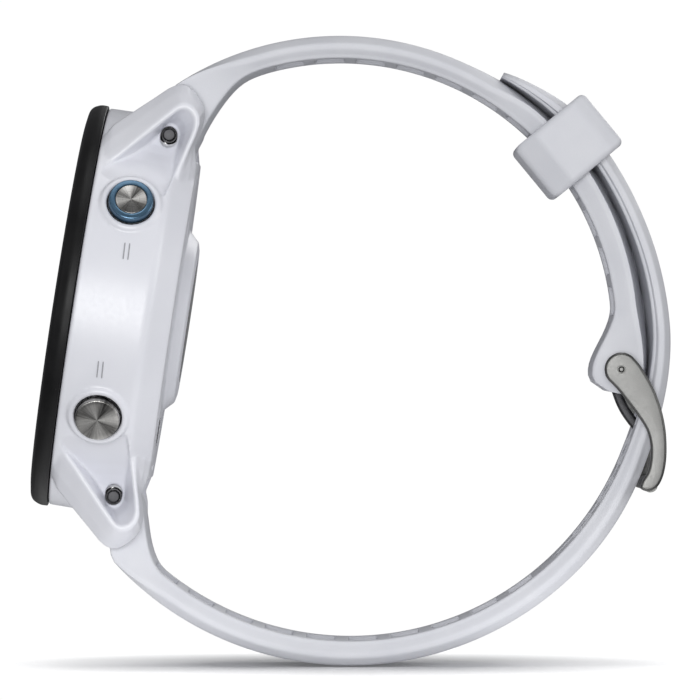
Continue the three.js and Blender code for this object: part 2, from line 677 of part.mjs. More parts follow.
// The buckle: two curved arms from the pin to the far bar, with the ears round the pin.
function buckleFrame() {
  const pin = PIN_POSITION;
  const bar = BUCKLE_BAR_POSITION;
  const arm = new THREE.Shape();
  arm.absarc(pin.x, pin.y, 1.95, deg(215), deg(42), true);
  arm.splineThru([
    new THREE.Vector2(pin.x + 3.4, pin.y - 2.1),
    new THREE.Vector2(pin.x + 4.75, pin.y - 6.6),
    new THREE.Vector2(bar.x + 1.3, bar.y + 1.9),
    new THREE.Vector2(bar.x + 0.75, bar.y - 0.35),
  ]);
  arm.splineThru([
    new THREE.Vector2(bar.x - 0.1, bar.y - 0.85),
    new THREE.Vector2(bar.x - 0.8, bar.y - 0.2),
    new THREE.Vector2(bar.x - 0.4, bar.y + 2.2),
    new THREE.Vector2(bar.x - 0.25, bar.y + 4.4),
    new THREE.Vector2(pin.x + 1.6, pin.y - 5.1),
    new THREE.Vector2(pin.x - 1.55, pin.y - 1.2),
  ]);
  const arms = [-1, 1].map((hand) => {
    const ends = [hand * BUCKLE_INSIDE, hand * (BUCKLE_INSIDE + BUCKLE_ARM)].sort((a, b) => a - b);
    return bandSlab(arm, ends[0], ends[1]);
  });
  const crossBar = rod(BUCKLE_BAR_RADIUS, -BUCKLE_INSIDE - 0.5, BUCKLE_INSIDE + 0.5, bar.x, bar.y, 14);
  return cut(join(...arms, crossBar), rod(PIN_RADIUS + 0.1, -20, 20, pin.x, pin.y, 14));
}

// The tongue: an eye round the pin and a bent blade through the band that ends beside the far bar.
function buckleTongue() {
  const pin = PIN_POSITION;
  const atBand = (radius, angle) => new THREE.Vector2(
    LOWER_CENTRE.x + radius * Math.cos(deg(angle)),
    LOWER_CENTRE.y + radius * Math.sin(deg(angle)),
  );
  const midline = new THREE.SplineCurve([
    new THREE.Vector2(pin.x - 0.7, pin.y - 0.9),
    new THREE.Vector2(pin.x + 0.3, pin.y - 3.85),
    atBand(33.6, -15.1),
    atBand(36.8, -18.4),
    atBand(37.55, -20.2),
    atBand(37.6, -23),
  ]);
  const thickness = 1.1;
  const samples = 16;
  const edges = [[], []];
  for (let i = 0; i <= samples; i += 1) {
    const at = midline.getPoint(i / samples);
    const along = midline.getTangent(i / samples);
    const aside = new THREE.Vector2(-along.y, along.x).multiplyScalar(thickness / 2);
    edges[0].push(at.clone().add(aside).toArray());
    edges[1].unshift(at.clone().sub(aside).toArray());
  }
  const blade = smoothOutline(edges.flat());
  const eye = new THREE.Shape().absarc(pin.x, pin.y, 1.6, 0, 2 * Math.PI);
  const body = join(bandSlab(blade, -1, 1), bandSlab(eye, -1, 1));
  return cut(body, rod(PIN_RADIUS + 0.1, -5, 5, pin.x, pin.y, 14));
}

piece(watch, "upper_strap", upperStrap(), silicone);
piece(watch, "lower_strap", lowerStrap(), silicone);
piece(watch, "keeper_loop", keeper(), silicone);
piece(watch, "buckle_frame", buckleFrame(), steel);
piece(watch, "buckle_tongue", buckleTongue(), steel);
const pinReach = BUCKLE_INSIDE + BUCKLE_ARM - 0.1;
piece(watch, "buckle_pin", rod(PIN_RADIUS, -pinReach, pinReach, PIN_POSITION.x, PIN_POSITION.y, 14), steel);

export default watch;
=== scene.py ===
import json
import math

import bmesh
import bpy
import numpy as np
from mathutils import Matrix, Vector
from mathutils.geometry import tessellate_polygon


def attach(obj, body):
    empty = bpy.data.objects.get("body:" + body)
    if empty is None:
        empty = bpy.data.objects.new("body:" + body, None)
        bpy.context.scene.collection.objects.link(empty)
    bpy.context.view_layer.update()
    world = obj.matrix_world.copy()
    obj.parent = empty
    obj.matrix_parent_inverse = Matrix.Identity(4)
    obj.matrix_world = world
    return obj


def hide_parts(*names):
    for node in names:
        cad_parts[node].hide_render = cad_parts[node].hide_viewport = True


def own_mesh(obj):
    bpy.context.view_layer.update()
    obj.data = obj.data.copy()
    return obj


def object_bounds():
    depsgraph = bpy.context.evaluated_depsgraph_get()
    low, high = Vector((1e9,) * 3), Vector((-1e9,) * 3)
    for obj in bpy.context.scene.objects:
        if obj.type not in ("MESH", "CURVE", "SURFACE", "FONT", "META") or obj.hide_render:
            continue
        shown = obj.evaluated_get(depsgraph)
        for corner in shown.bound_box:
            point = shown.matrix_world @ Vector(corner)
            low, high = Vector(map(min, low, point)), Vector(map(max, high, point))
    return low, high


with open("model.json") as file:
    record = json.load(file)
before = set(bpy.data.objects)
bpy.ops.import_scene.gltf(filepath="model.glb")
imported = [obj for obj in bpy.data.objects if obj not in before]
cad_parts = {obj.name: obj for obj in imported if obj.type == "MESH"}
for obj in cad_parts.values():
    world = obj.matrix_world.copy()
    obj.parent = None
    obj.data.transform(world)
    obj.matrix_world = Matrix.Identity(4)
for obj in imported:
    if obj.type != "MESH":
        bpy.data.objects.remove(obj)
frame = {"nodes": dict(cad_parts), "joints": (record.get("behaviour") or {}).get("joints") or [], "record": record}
CAD_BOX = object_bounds()

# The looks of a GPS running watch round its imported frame.
# Shapes are drawn in millimetres and turned into metres when they are placed.
# Case pieces are drawn in the case's own frame: x to three o'clock, y to twelve o'clock, z out of
# the dial, and a depth is measured back from the bezel's front. Band pieces are drawn as (Y, Z).

# ---- Places from the frame --------------------------------------------------------------------

MM = 0.001
MOUNTS = {mount["name"]: mount for mount in frame["record"]["mounts"]}
JOINTS = {joint["name"]: joint for joint in frame["joints"]}


def joint_place(name):
    """The (Y, Z) of a joint that turns about X, in millimetres."""
    place = np.array(JOINTS[name]["pos_m"]) / MM
    return place[1:]


DIAL_NORMAL = Vector(MOUNTS["lens_face"]["axis"])
LENS_DEPTH = 0.1
DIAL_CENTRE = Vector(MOUNTS["lens_face"]["pos_m"]) / MM + DIAL_NORMAL * LENS_DEPTH
MIDDLE = DIAL_CENTRE.x
TWELVE = DIAL_NORMAL.cross(Vector((1, 0, 0)))
CASE = Matrix.Translation(DIAL_CENTRE) @ Matrix(((1, 0, 0), TWELVE, DIAL_NORMAL)).transposed().to_4x4()
UPPER_CENTRE = joint_place("keeper_slide")
LOWER_CENTRE = UPPER_CENTRE + (1.15, -1.15)
PIN = joint_place("buckle_hinge")
FAR_BAR = PIN + (3.3, -13.15)
FLOOR = CAD_BOX[0].z

# ---- Driving dimensions -----------------------------------------------------------------------

BEZEL_RADIUS = 23.25
BEZEL_DEPTH = 2.2
LENS_RADIUS = 18.6
CASE_RADIUS = 23.1
BEVEL_START = 10.8
BACK_DEPTH = 13.5
BACK_RADIUS = 20.4
BACK_OPENING = 17.3
LEDGE_DEPTH = 10.9
LEDGE_BACK = 11.9
SENSOR_DEPTH = 15.05
SCREW_RING = 14.9
PORT_HEIGHT = -12.9

LUG_CORE = 12.5
LUG_CREST = 15.8
LUG_GAP = 11.2
POCKET_FLOOR = 12.0
BAR_DEPTH = 9.8
BAR_HEIGHT = 20.8
BAR_TIP_RADIUS = 0.7
ROOT_RADIUS = 2.6
SIDES = (("upper", 1), ("lower", -1))
HANDS = (("right", 1), ("left", -1))
BAR_ENDS = [(name, side, hand, sign) for name, side in SIDES for hand, sign in HANDS]

# The lug seen from the side as (depth, height): a ramp, a round end over the bar, and the back.
LUG_OUTLINE = [
    (2.5, 12.0), (2.5, 19.4), (3.4, 20.9), (5.3, 22.65), (7.8, 24.9), (9.0, 26.0), (9.8, 26.5),
    (10.5, 26.65), (11.2, 26.5), (12.1, 25.9), (12.9, 25.0), (13.4, 24.0), (13.5, 22.8),
    (13.25, 21.2), (12.85, 20.1), (13.1, 19.1), (13.4, 17.8), (13.5, 15.0), (13.5, 10.0)]
# The ridge round the lug's pocket, one point for each point of the outline.
LUG_RIDGE = [
    (2.6, 12.0), (2.7, 16.2), (3.4, 16.6), (4.7, 17.9), (7.0, 20.45), (9.0, 22.65), (9.9, 23.65),
    (10.5, 24.2), (11.1, 24.45), (11.8, 24.35), (12.5, 23.9), (13.0, 23.1), (13.1, 22.2),
    (12.8, 20.8), (12.45, 19.5), (12.05, 18.0), (11.75, 16.8), (11.3, 13.6), (11.1, 10.0)]
# The pocket's mouth on the ridge, and its foot round the end of the bar, point for point.
POCKET_MOUTH = [
    (3.0, 14.0), (3.3, 16.0), (4.7, 17.4), (6.9, 19.8), (9.0, 22.1), (10.2, 23.3), (10.8, 23.8),
    (11.4, 23.9), (12.0, 23.6), (12.5, 22.9), (12.6, 22.0), (12.3, 20.6), (11.9, 19.2),
    (11.4, 17.4), (10.9, 15.6), (10.4, 13.6), (10.0, 12.0), (3.2, 12.0)]
POCKET_FOOT = [
    (5.4, 14.0), (6.0, 16.9), (6.6, 18.0), (7.6, 19.3), (8.6, 20.7), (8.95, 21.5), (9.4, 22.0),
    (9.9, 22.15), (10.4, 22.0), (10.8, 21.5), (11.0, 20.9), (10.95, 20.0), (10.75, 18.8),
    (10.55, 17.2), (10.3, 15.6), (10.0, 13.6), (9.7, 12.0), (5.2, 12.0)]
# How the pocket's floor leaves the case's round side and dives to the bar, as (x, height).
POCKET_DIVE = [
    (POCKET_FLOOR, 30), (POCKET_FLOOR, 20.6), (12.3, 19.7), (13.1, 18.6), (14.2, 17.4),
    (15.4, 16.3), (16.7, 15.2), (18.0, 14.2), (19.6, 13.4), (26, 13.0), (26, 30)]

BUTTON_DEPTH = 6.9
BUTTON_FACE = 23.5
BUTTON_BORE = 2.72
BUTTON_RADIUS = 2.56
BUTTON_PROUD = 0.75
# Where each button sits on the rim and which way it points, in degrees from three o'clock.
BUTTONS = {
    "start_button": (32, 27),
    "back_button": (-31, -27),
    "light_button": (149, 153),
    "up_button": (180, 180),
    "down_button": (211, 207),
}

UPPER_INNER = 31.5
UPPER_THICKNESS = 2.75
LOWER_INNER = 33.75
LOWER_THICKNESS = 3
TAIL_THICKNESS = 2.1
BAND_WIDTH_LUG = 21.6
BAND_WIDTH_BUCKLE = 20
UPPER_PITCH = 8.5
HOLE_PITCH = 8.24
HOLE_FIRST = -41.9
HOLE_COUNT = 12

PIN_RADIUS = 0.75
LAP_FILL = 0.488
LAP_LEAN = 0.12
BUCKLE_INSIDE = 10.35
BUCKLE_ARM = 1.7
KEEPER_ANGLE = 39.5
KEEPER_LENGTH = 7.4


# ---- Mesh helpers -----------------------------------------------------------------------------


def smooth(t):
    t = np.clip(t, 0, 1)
    return t * t * (3 - 2 * t)


def lerp(a, b, t):
    return a + (b - a) * t


def polar(radius, angle, centre=(0, 0)):
    """The point at a distance and an angle in radians from a centre."""
    return np.array((centre[0] + radius * math.cos(angle), centre[1] + radius * math.sin(angle)))


def box(low, high):
    """The four corners of an upright box."""
    return [(low[0], low[1]), (high[0], low[1]), (high[0], high[1]), (low[0], high[1])]


def build(name, vertices, faces):
    """A mesh object from vertices and faces, with its faces turned outwards."""
    mesh = bpy.data.meshes.new(name)
    mesh.from_pydata([tuple(v) for v in vertices], [], [tuple(f) for f in faces])
    work = bmesh.new()
    work.from_mesh(mesh)
    bmesh.ops.recalc_face_normals(work, faces=work.faces)
    work.to_mesh(mesh)
    work.free()
    made = bpy.data.objects.new(name, mesh)
    bpy.context.scene.collection.objects.link(made)
    return made


def rounded(points, radii, steps=5):
    """A closed outline whose corners are replaced by arcs; radii is one number or one per corner."""
    points = [np.array(p, float) for p in points]
    if np.isscalar(radii):
        radii = [radii] * len(points)
    made = []
    for i, corner in enumerate(points):
        before = points[i - 1] - corner
        after = points[(i + 1) % len(points)] - corner
        near = min(np.linalg.norm(before), np.linalg.norm(after))
        u = before / np.linalg.norm(before)
        v = after / np.linalg.norm(after)
        half = math.acos(np.clip(u @ v, -1, 1)) / 2
        if radii[i] <= 0 or half > 1.5:
            made.append(corner)
            continue
        reach = min(radii[i] / math.tan(half), 0.49 * near)
        radius = reach * math.tan(half)
        middle = (u + v) / np.linalg.norm(u + v)
        centre = corner + middle * (radius / math.sin(half))
        start = corner + u * reach - centre
        end = corner + v * reach - centre
        sweep = math.acos(np.clip((start @ end) / radius**2, -1, 1))
        for k in range(steps + 1):
            share = k / steps
            a = math.sin((1 - share) * sweep) / math.sin(sweep)
            b = math.sin(share * sweep) / math.sin(sweep)
            made.append(centre + start * a + end * b)
    return made


def curve_through(points, steps=8, closed=False):
    """A smooth line through points."""
    points = [np.array(p, float) for p in points]
    before, after = ([points[-1]], points[:2]) if closed else ([points[0]], [points[-1]])
    padded = before + points + after
    made = []
    for p0, p1, p2, p3 in zip(padded, padded[1:], padded[2:], padded[3:]):
        for k in range(steps):
            t = k / steps
            made.append(0.5 * (2 * p1 + (p2 - p0) * t + (2 * p0 - 5 * p1 + 4 * p2 - p3) * t**2
                               + (3 * p1 - p0 - 3 * p2 + p3) * t**3))
    if not closed:
        made.append(points[-1])
    return made


def arc(centre, radius, start, end, steps=16):
    """Points on an arc between two angles in degrees."""
    return [polar(radius, a, centre) for a in np.radians(np.linspace(start, end, steps + 1))]


def turned(name, profile, segments=96):
    """A turned solid about z from a closed outline of (radius, depth)."""
    vertices, rows = [], []
    for radius, depth in profile:
        if radius < 1e-6:
            rows.append([len(vertices)])
            vertices.append((0, 0, -depth))
        else:
            rows.append(list(range(len(vertices), len(vertices) + segments)))
            ring = [polar(radius, 2 * math.pi * k / segments) for k in range(segments)]
            vertices += [(x, y, -depth) for x, y in ring]
    faces = []
    for i, row in enumerate(rows):
        other = rows[(i + 1) % len(rows)]
        if len(row) == 1 and len(other) == 1:
            continue
        for k in range(segments):
            n = (k + 1) % segments
            if len(row) == 1:
                faces.append((row[0], other[k], other[n]))
            elif len(other) == 1:
                faces.append((row[k], row[n], other[0]))
            else:
                faces.append((row[k], row[n], other[n], other[k]))
    return build(name, vertices, faces)


def disc(name, radius, low, high, segments=96):
    """A plain disc about z between two depths."""
    return turned(name, box((0, low), (radius, high)), segments)


def skin(name, sections, closed_rows=False):
    """A skin through sections that each hold the same number of points."""
    rows, count = len(sections), len(sections[0])
    vertices = [p for section in sections for p in section]
    faces = []
    for r in range(rows if closed_rows else rows - 1):
        below, above = r * count, (r + 1) % rows * count
        for i in range(count):
            n = (i + 1) % count
            faces.append((below + i, below + n, above + n, above + i))
    if not closed_rows:
        for first in (0, (rows - 1) * count):
            cap = [Vector(p) for p in vertices[first:first + count]]
            faces += [[first + i for i in triangle] for triangle in tessellate_polygon([cap])]
    return build(name, vertices, faces)


def inset(outline, distance):
    """A counter-clockwise outline moved inwards."""
    points = np.array(outline)
    before, after = np.roll(points, 1, 0), np.roll(points, -1, 0)
    tangent = after - before
    tangent /= np.linalg.norm(tangent, axis=1)[:, None]
    return points + np.stack((-tangent[:, 1], tangent[:, 0]), 1) * distance


def plate(name, outline, low, high, edge, place, steps=4):
    """An outline swept between two values of x, with round edges. place turns (x, a, b) into a point."""
    area = sum(a[0] * b[1] - b[0] * a[1] for a, b in zip(outline, outline[1:] + outline[:1]))
    if area < 0:
        outline = outline[::-1]
    quarter = [math.pi / 2 * k / steps for k in range(steps + 1)]
    sections = [(low + edge * (1 - math.sin(a)), edge * (1 - math.cos(a))) for a in quarter[::-1]]
    sections += [(high - edge * (1 - math.sin(a)), edge * (1 - math.cos(a))) for a in quarter]
    return skin(name, [[place(x, a, b) for a, b in inset(outline, off)] for x, off in sections])


def prism(name, outline, low, high, place):
    """An outline swept between two values of x, with sharp edges."""
    return skin(name, [[place(x, a, b) for a, b in outline] for x in (low, high)])


def in_case(x, depth, height):
    return (x, height, -depth)


def on_dial(depth, x, y):
    return (x, y, -depth)


def in_band(x, y, z):
    return (MIDDLE + x, y, z)


def rod(name, radius, low, high, place, centre, edge=0.0, segments=48):
    outline = arc(centre, radius, 0, 360, segments)[:-1]
    if edge:
        return plate(name, outline, low, high, edge, place)
    return prism(name, outline, low, high, place)


def evaluate(made):
    """Replaces an object's mesh by what its modifiers make of it."""
    graph = bpy.context.evaluated_depsgraph_get()
    mesh = bpy.data.meshes.new_from_object(made.evaluated_get(graph))
    made.modifiers.clear()
    old = made.data
    made.data = mesh
    bpy.data.meshes.remove(old)
    return made


def combine(made, operation, *tools):
    for tool in tools:
        step = made.modifiers.new("combine", "BOOLEAN")
        step.operation = operation
        step.solver = "MANIFOLD"
        step.object = tool
    evaluate(made)
    for tool in tools:
        bpy.data.objects.remove(tool)
    return made


def cut(made, *tools):
    return combine(made, "DIFFERENCE", *tools)


def join(made, *tools):
    return combine(made, "UNION", *tools)


def soften(made, voxel, passes, keep):
    """Rounds the edges of a joined solid: an even mesh, smoothed, with `keep` of its faces left."""
    step = made.modifiers.new("remesh", "REMESH")
    step.mode = "VOXEL"
    step.voxel_size = voxel
    step = made.modifiers.new("smooth", "SMOOTH")
    step.factor = 0.5
    step.iterations = passes
    step = made.modifiers.new("decimate", "DECIMATE")
    step.ratio = keep
    return evaluate(made)


def transform(made, matrix):
    made.data.transform(matrix)
    return made


def finished(made, body, slot, replaces=(), sharp=38, local=None, look=None):
    """Shades a piece, scales it to metres and lets it ride on its body. The look is the slot's own
    unless another is given. With local, the piece was drawn about its own axis and its object
    carries the place."""
    made.data.transform(Matrix.Scale(MM, 4))
    made.data.shade_smooth()
    made.data.set_sharp_from_angle(angle=math.radians(sharp))
    made.data.materials.clear()
    made.data.materials.append(look or LOOKS[slot])
    if local is not None:
        place = local.copy()
        place.translation *= MM
        made.matrix_world = place
    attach(made, body)
    if replaces:
        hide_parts(*replaces)
    return made


# ---- Materials --------------------------------------------------------------------------------


class Look:
    """A principled material built from nodes, in the piece's own coordinates."""

    def __init__(self, name, roughness, metallic=0.0, **sockets):
        self.material = bpy.data.materials.new(name)
        self.material.use_nodes = True
        self.nodes = self.material.node_tree.nodes
        self.links = self.material.node_tree.links
        self.shader = self.nodes["Principled BSDF"]
        self.shader.inputs["Roughness"].default_value = roughness
        self.shader.inputs["Metallic"].default_value = metallic
        for socket, value in sockets.items():
            self.shader.inputs[socket.replace("_", " ")].default_value = value
        self.place = self.nodes.new("ShaderNodeTexCoord").outputs["Object"]

    def node(self, kind, values=None, **settings):
        made = self.nodes.new(kind)
        for key, value in settings.items():
            setattr(made, key, value)
        for key, value in (values or {}).items():
            if isinstance(value, bpy.types.NodeSocket):
                self.links.new(value, made.inputs[key])
            else:
                made.inputs[key].default_value = value
        return made

    def noise(self, size_mm, detail=3.0, rough=0.55, place=None):
        """Even noise from 0 to 1 whose lumps are about size_mm across."""
        values = {"Vector": place or self.place, "Scale": 1 / (size_mm * MM), "Detail": detail,
                  "Roughness": rough}
        return self.node("ShaderNodeTexNoise", values).outputs["Fac"]

    def spread(self, value, low=0.3, high=0.7, to_low=0, to_high=1):
        values = {"Value": value, "From Min": low, "From Max": high, "To Min": to_low, "To Max": to_high}
        return self.node("ShaderNodeMapRange", values, clamp=True).outputs["Result"]

    def math(self, operation, a, b=0.0):
        return self.node("ShaderNodeMath", {0: a, 1: b}, operation=operation).outputs[0]

    def blend(self, share, first, second):
        mix = self.node("ShaderNodeMix", {"Factor": share}, data_type="RGBA")
        for socket, colour in ((mix.inputs[6], first), (mix.inputs[7], second)):
            if isinstance(colour, bpy.types.NodeSocket):
                self.links.new(colour, socket)
            else:
                socket.default_value = (*colour, 1)
        return mix.outputs[2]

    def x_y_radius(self):
        """The piece's own x and y, and the distance from its z axis."""
        x, y = self.node("ShaderNodeSeparateXYZ", {0: self.place}).outputs[:2]
        squares = [self.math("POWER", side, 2.0) for side in (x, y)]
        return x, y, self.math("SQRT", self.math("ADD", *squares))

    def colour(self, output):
        self.links.new(output, self.shader.inputs["Base Color"])

    def roughness(self, output):
        self.links.new(output, self.shader.inputs["Roughness"])

    def bump(self, *layers):
        """Layers of (height output, height in millimetres), laid on one another."""
        normal = None
        for height, tall_mm in layers:
            values = {"Height": height, "Strength": 1.0, "Distance": tall_mm * MM}
            if normal is not None:
                values["Normal"] = normal
            normal = self.node("ShaderNodeBump", values).outputs["Normal"]
        self.links.new(normal, self.shader.inputs["Normal"])


def clouded(name, roughness, cloud, dark, light, gloss=None, grain=None, metallic=0.0, **sockets):
    """A look whose tint drifts in clouds of (size in millimetres, detail). gloss is the span of the
    noise and the roughness at its ends. grain is (size, detail, height in millimetres)."""
    look = Look(name, roughness, metallic, **sockets)
    drift = look.noise(*cloud)
    look.colour(look.blend(look.spread(drift), dark, light))
    if grain:
        size, detail, tall = grain
        drift = look.noise(size, detail)
        look.bump((drift, tall))
    if gloss:
        look.roughness(look.spread(drift, *gloss))
    return look


def silicone():
    look = Look("band_silicone", 0.6, Specular_IOR_Level=0.22)
    cloud = look.noise(6, 2)
    grain = look.noise(0.09, 2, 0.6)
    base = look.blend(look.spread(cloud, 0.35, 0.65), (0.64, 0.648, 0.688), (0.68, 0.688, 0.722))
    look.colour(look.blend(look.spread(grain, to_high=0.35), base, (0.60, 0.61, 0.66)))
    look.roughness(look.spread(look.noise(1.4, 4), 0.3, 0.7, 0.44, 0.56))
    look.bump((cloud, 0.02), (grain, 0.0012))
    return look.material


def case_white():
    look = Look("case_white", 0.33)
    cloud = look.noise(9, 2)
    grain = look.noise(0.12, 3, 0.6)
    base = look.blend(look.spread(cloud, 0.35, 0.65), (0.74, 0.748, 0.80), (0.765, 0.773, 0.82))
    look.colour(look.blend(look.spread(grain, 0.55, 0.8, 0, 0.4), base, (0.70, 0.71, 0.77)))
    look.roughness(look.spread(look.noise(0.5, 3), 0.3, 0.7, 0.29, 0.40))
    look.bump((grain, 0.003))
    return look.material


def bezel_black():
    look = Look("bezel_black", 0.5, Specular_IOR_Level=0.2)
    grain = look.noise(0.07, 3, 0.65)
    wear = look.noise(3.5, 4)
    base = look.blend(look.spread(wear, 0.35), (0.006, 0.006, 0.0065), (0.010, 0.010, 0.0105))
    look.colour(look.blend(look.spread(grain, 0.5, 0.8, 0, 0.5), base, (0.018, 0.018, 0.019)))
    look.roughness(look.spread(wear, 0.3, 0.7, 0.38, 0.5))
    look.bump((grain, 0.004))
    return look.material


def metal(name, dark, light, roughness, streak_mm=None, grain_mm=0.06):
    """Drawn or satin metal. Streaks, where it has them, run along the piece's x axis."""
    look = Look(name, roughness, 1.0)
    place = look.place
    if streak_mm:
        place = look.node("ShaderNodeMapping", {"Vector": place, "Scale": (0.03, 1.0, 1.0)}).outputs[0]
    streaks = look.noise(streak_mm or grain_mm * 3, 3, 0.6, place)
    grain = look.noise(grain_mm, 2, 0.6)
    cloud = look.noise(4, 3)
    mixed = look.math("ADD", look.math("MULTIPLY", streaks, 0.65), look.math("MULTIPLY", cloud, 0.35))
    look.colour(look.blend(look.spread(mixed, 0.35, 0.65), dark, light))
    look.roughness(look.spread(streaks, 0.3, 0.7, roughness - 0.06, roughness + 0.07))
    look.bump((grain, 0.0008), (streaks, 0.001))
    return look.material


def sunray():
    """Metal brushed in rings about the piece's own z axis. Its colour carries painted reflections: rays of light
    and dark by angle, standing in for the streaks such brushing shows under light.
    """
    rings_mm = 0.09
    look = Look("button_steel", 0.3, 1.0, Anisotropic=0.75)
    tangent = look.node("ShaderNodeTangent", direction_type="RADIAL", axis="Z").outputs[0]
    look.links.new(tangent, look.shader.inputs["Tangent"])
    x, y, radius = look.x_y_radius()
    angle = look.math("ARCTAN2", y, x)
    broad = look.math("SINE", look.math("MULTIPLY", angle, 4.0))
    wide = look.math("SINE", look.math("ADD", look.math("MULTIPLY", angle, 3.0), 1.1))
    around = look.node("ShaderNodeCombineXYZ", {0: angle, 1: look.math("MULTIPLY", radius, 60.0)})
    fine = look.node("ShaderNodeTexNoise", {"Vector": around.outputs[0], "Scale": 9.0, "Detail": 4.0})
    outwards = look.node("ShaderNodeCombineXYZ", {0: radius}).outputs[0]
    rings = look.noise(rings_mm, 2.0, 0.5, outwards)
    # painted reflection: broad and fine rays by angle round the axis, painted into the base colour from near black
    # to bright
    painted_rays = look.math("ADD", look.math("MULTIPLY", broad, 0.3), look.math("MULTIPLY", wide, 0.14))
    fine_painted_rays = look.math("MULTIPLY", look.math("SUBTRACT", fine.outputs["Fac"], 0.5), 0.9)
    painted_rays = look.math("ADD", painted_rays, fine_painted_rays)
    look.colour(look.blend(look.spread(painted_rays, -0.5, 0.5), (0.05, 0.049, 0.047), (0.62, 0.61, 0.59)))
    look.roughness(look.spread(rings, 0.3, 0.7, 0.24, 0.38))
    look.bump((rings, 0.003))
    return look.material


def display():
    """A dark reflective display: a fine pixel grid inside a plain black border."""
    look = Look("screen", 0.28)
    pitch = 0.17 * MM
    active_radius = 16.2 * MM
    x, y, radius = look.x_y_radius()
    cell = look.math("MINIMUM", *(look.math("PINGPONG", side, pitch / 2) for side in (x, y)))
    active = look.math("LESS_THAN", radius, active_radius)
    grid = look.blend(look.spread(cell, 0, pitch * 0.12), (0.008, 0.009, 0.010), (0.022, 0.026, 0.030))
    cloud = look.blend(look.spread(look.noise(12, 2), to_high=0.4), grid, (0.028, 0.032, 0.036))
    look.colour(look.blend(active, (0.006, 0.006, 0.006), cloud))
    look.roughness(look.spread(cell, 0, pitch * 0.12, 0.5, 0.25))
    return look.material


def circuit_board():
    look = Look("board", 0.4)
    mask = look.noise(1.2, 2)
    tracks = look.node("ShaderNodeTexBrick", {
        "Vector": look.place, "Scale": 900.0, "Mortar Size": 0.03, "Color1": (0.01, 0.075, 0.045, 1),
        "Color2": (0.012, 0.09, 0.052, 1), "Mortar": (0.03, 0.17, 0.10, 1)})
    look.colour(look.blend(look.spread(mask, 0.4, 0.6, 0, 0.6), tracks.outputs[0], (0.012, 0.06, 0.04)))
    look.roughness(look.spread(mask, 0.3, 0.7, 0.32, 0.5))
    return look.material


def pale_floor():
    """A pale light table: its glow is dimmed round the middle as a painted contact shadow under the watch, and it
    fades into the white backdrop.
    """
    look = clouded("floor", 0.35, (60, 3), (0.85, 0.85, 0.855), (0.86, 0.86, 0.865), (0.3, 0.7, 0.33, 0.38),
                   Specular_IOR_Level=0.35, Emission_Color=(1, 1, 1, 1))
    distance = look.node("ShaderNodeVectorMath", {0: look.place}, operation="LENGTH").outputs["Value"]
    # painted shadow: the floor's glow drops from 0.95 to 0.06 towards the watch's footprint
    look.links.new(look.spread(distance, 0.016, 0.05, 0.06, 0.95), look.shader.inputs["Emission Strength"])
    look.links.new(look.spread(distance, 0.034, 0.06, 1, 0), look.shader.inputs["Alpha"])
    return look.material


LOOKS = {
    "case_white": case_white(),
    "bezel_black": bezel_black(),
    "lens_glass": clouded(
        "lens_glass", 0.04, (7, 4), (0.88, 0.9, 0.92), (0.93, 0.94, 0.95), (0.4, 0.75, 0.02, 0.07),
        IOR=1.52, Transmission_Weight=0.94, Coat_Weight=0.4, Coat_Roughness=0.02).material,
    "sensor_glass": clouded(
        "sensor_glass", 0.08, (3, 4), (0.05, 0.05, 0.056), (0.075, 0.075, 0.082), (0.4, 0.75, 0.05, 0.12),
        IOR=1.5, Transmission_Weight=0.55, Coat_Weight=0.6, Coat_Roughness=0.03).material,
    "screen": display(),
    "foil": metal("foil", (0.30, 0.31, 0.33), (0.44, 0.45, 0.47), 0.38, streak_mm=0.5),
    "board": circuit_board(),
    "contact_gold": metal("contact_gold", (0.60, 0.41, 0.15), (0.80, 0.58, 0.26), 0.24),
    "seal_rubber": clouded(
        "seal_rubber", 0.75, (1.6, 3), (0.018, 0.018, 0.02), (0.032, 0.032, 0.035), (0.3, 0.7, 0.68, 0.82),
        (0.08, 3, 0.006), Specular_IOR_Level=0.3).material,
    "steel": metal("steel", (0.035, 0.035, 0.037), (0.065, 0.065, 0.068), 0.45, streak_mm=0.3),
    "button_steel": sunray(),
    "button_blue": clouded(
        "button_blue", 0.3, (1.1, 3), (0.075, 0.15, 0.235), (0.105, 0.20, 0.30), (0.3, 0.7, 0.25, 0.36),
        (0.05, 2, 0.001), 0.85, Coat_Weight=0.3, Coat_Roughness=0.15).material,
    "band_silicone": silicone(),
    "buckle_steel": metal("buckle_steel", (0.115, 0.115, 0.112), (0.155, 0.155, 0.151), 0.42, grain_mm=0.05),
}

for part in frame["record"]["subparts"]:
    node = frame["nodes"][part["node"]]
    node.data.materials.clear()
    node.data.materials.append(LOOKS[part["material_slot"]])


# ---- Stage, light and camera ------------------------------------------------------------------


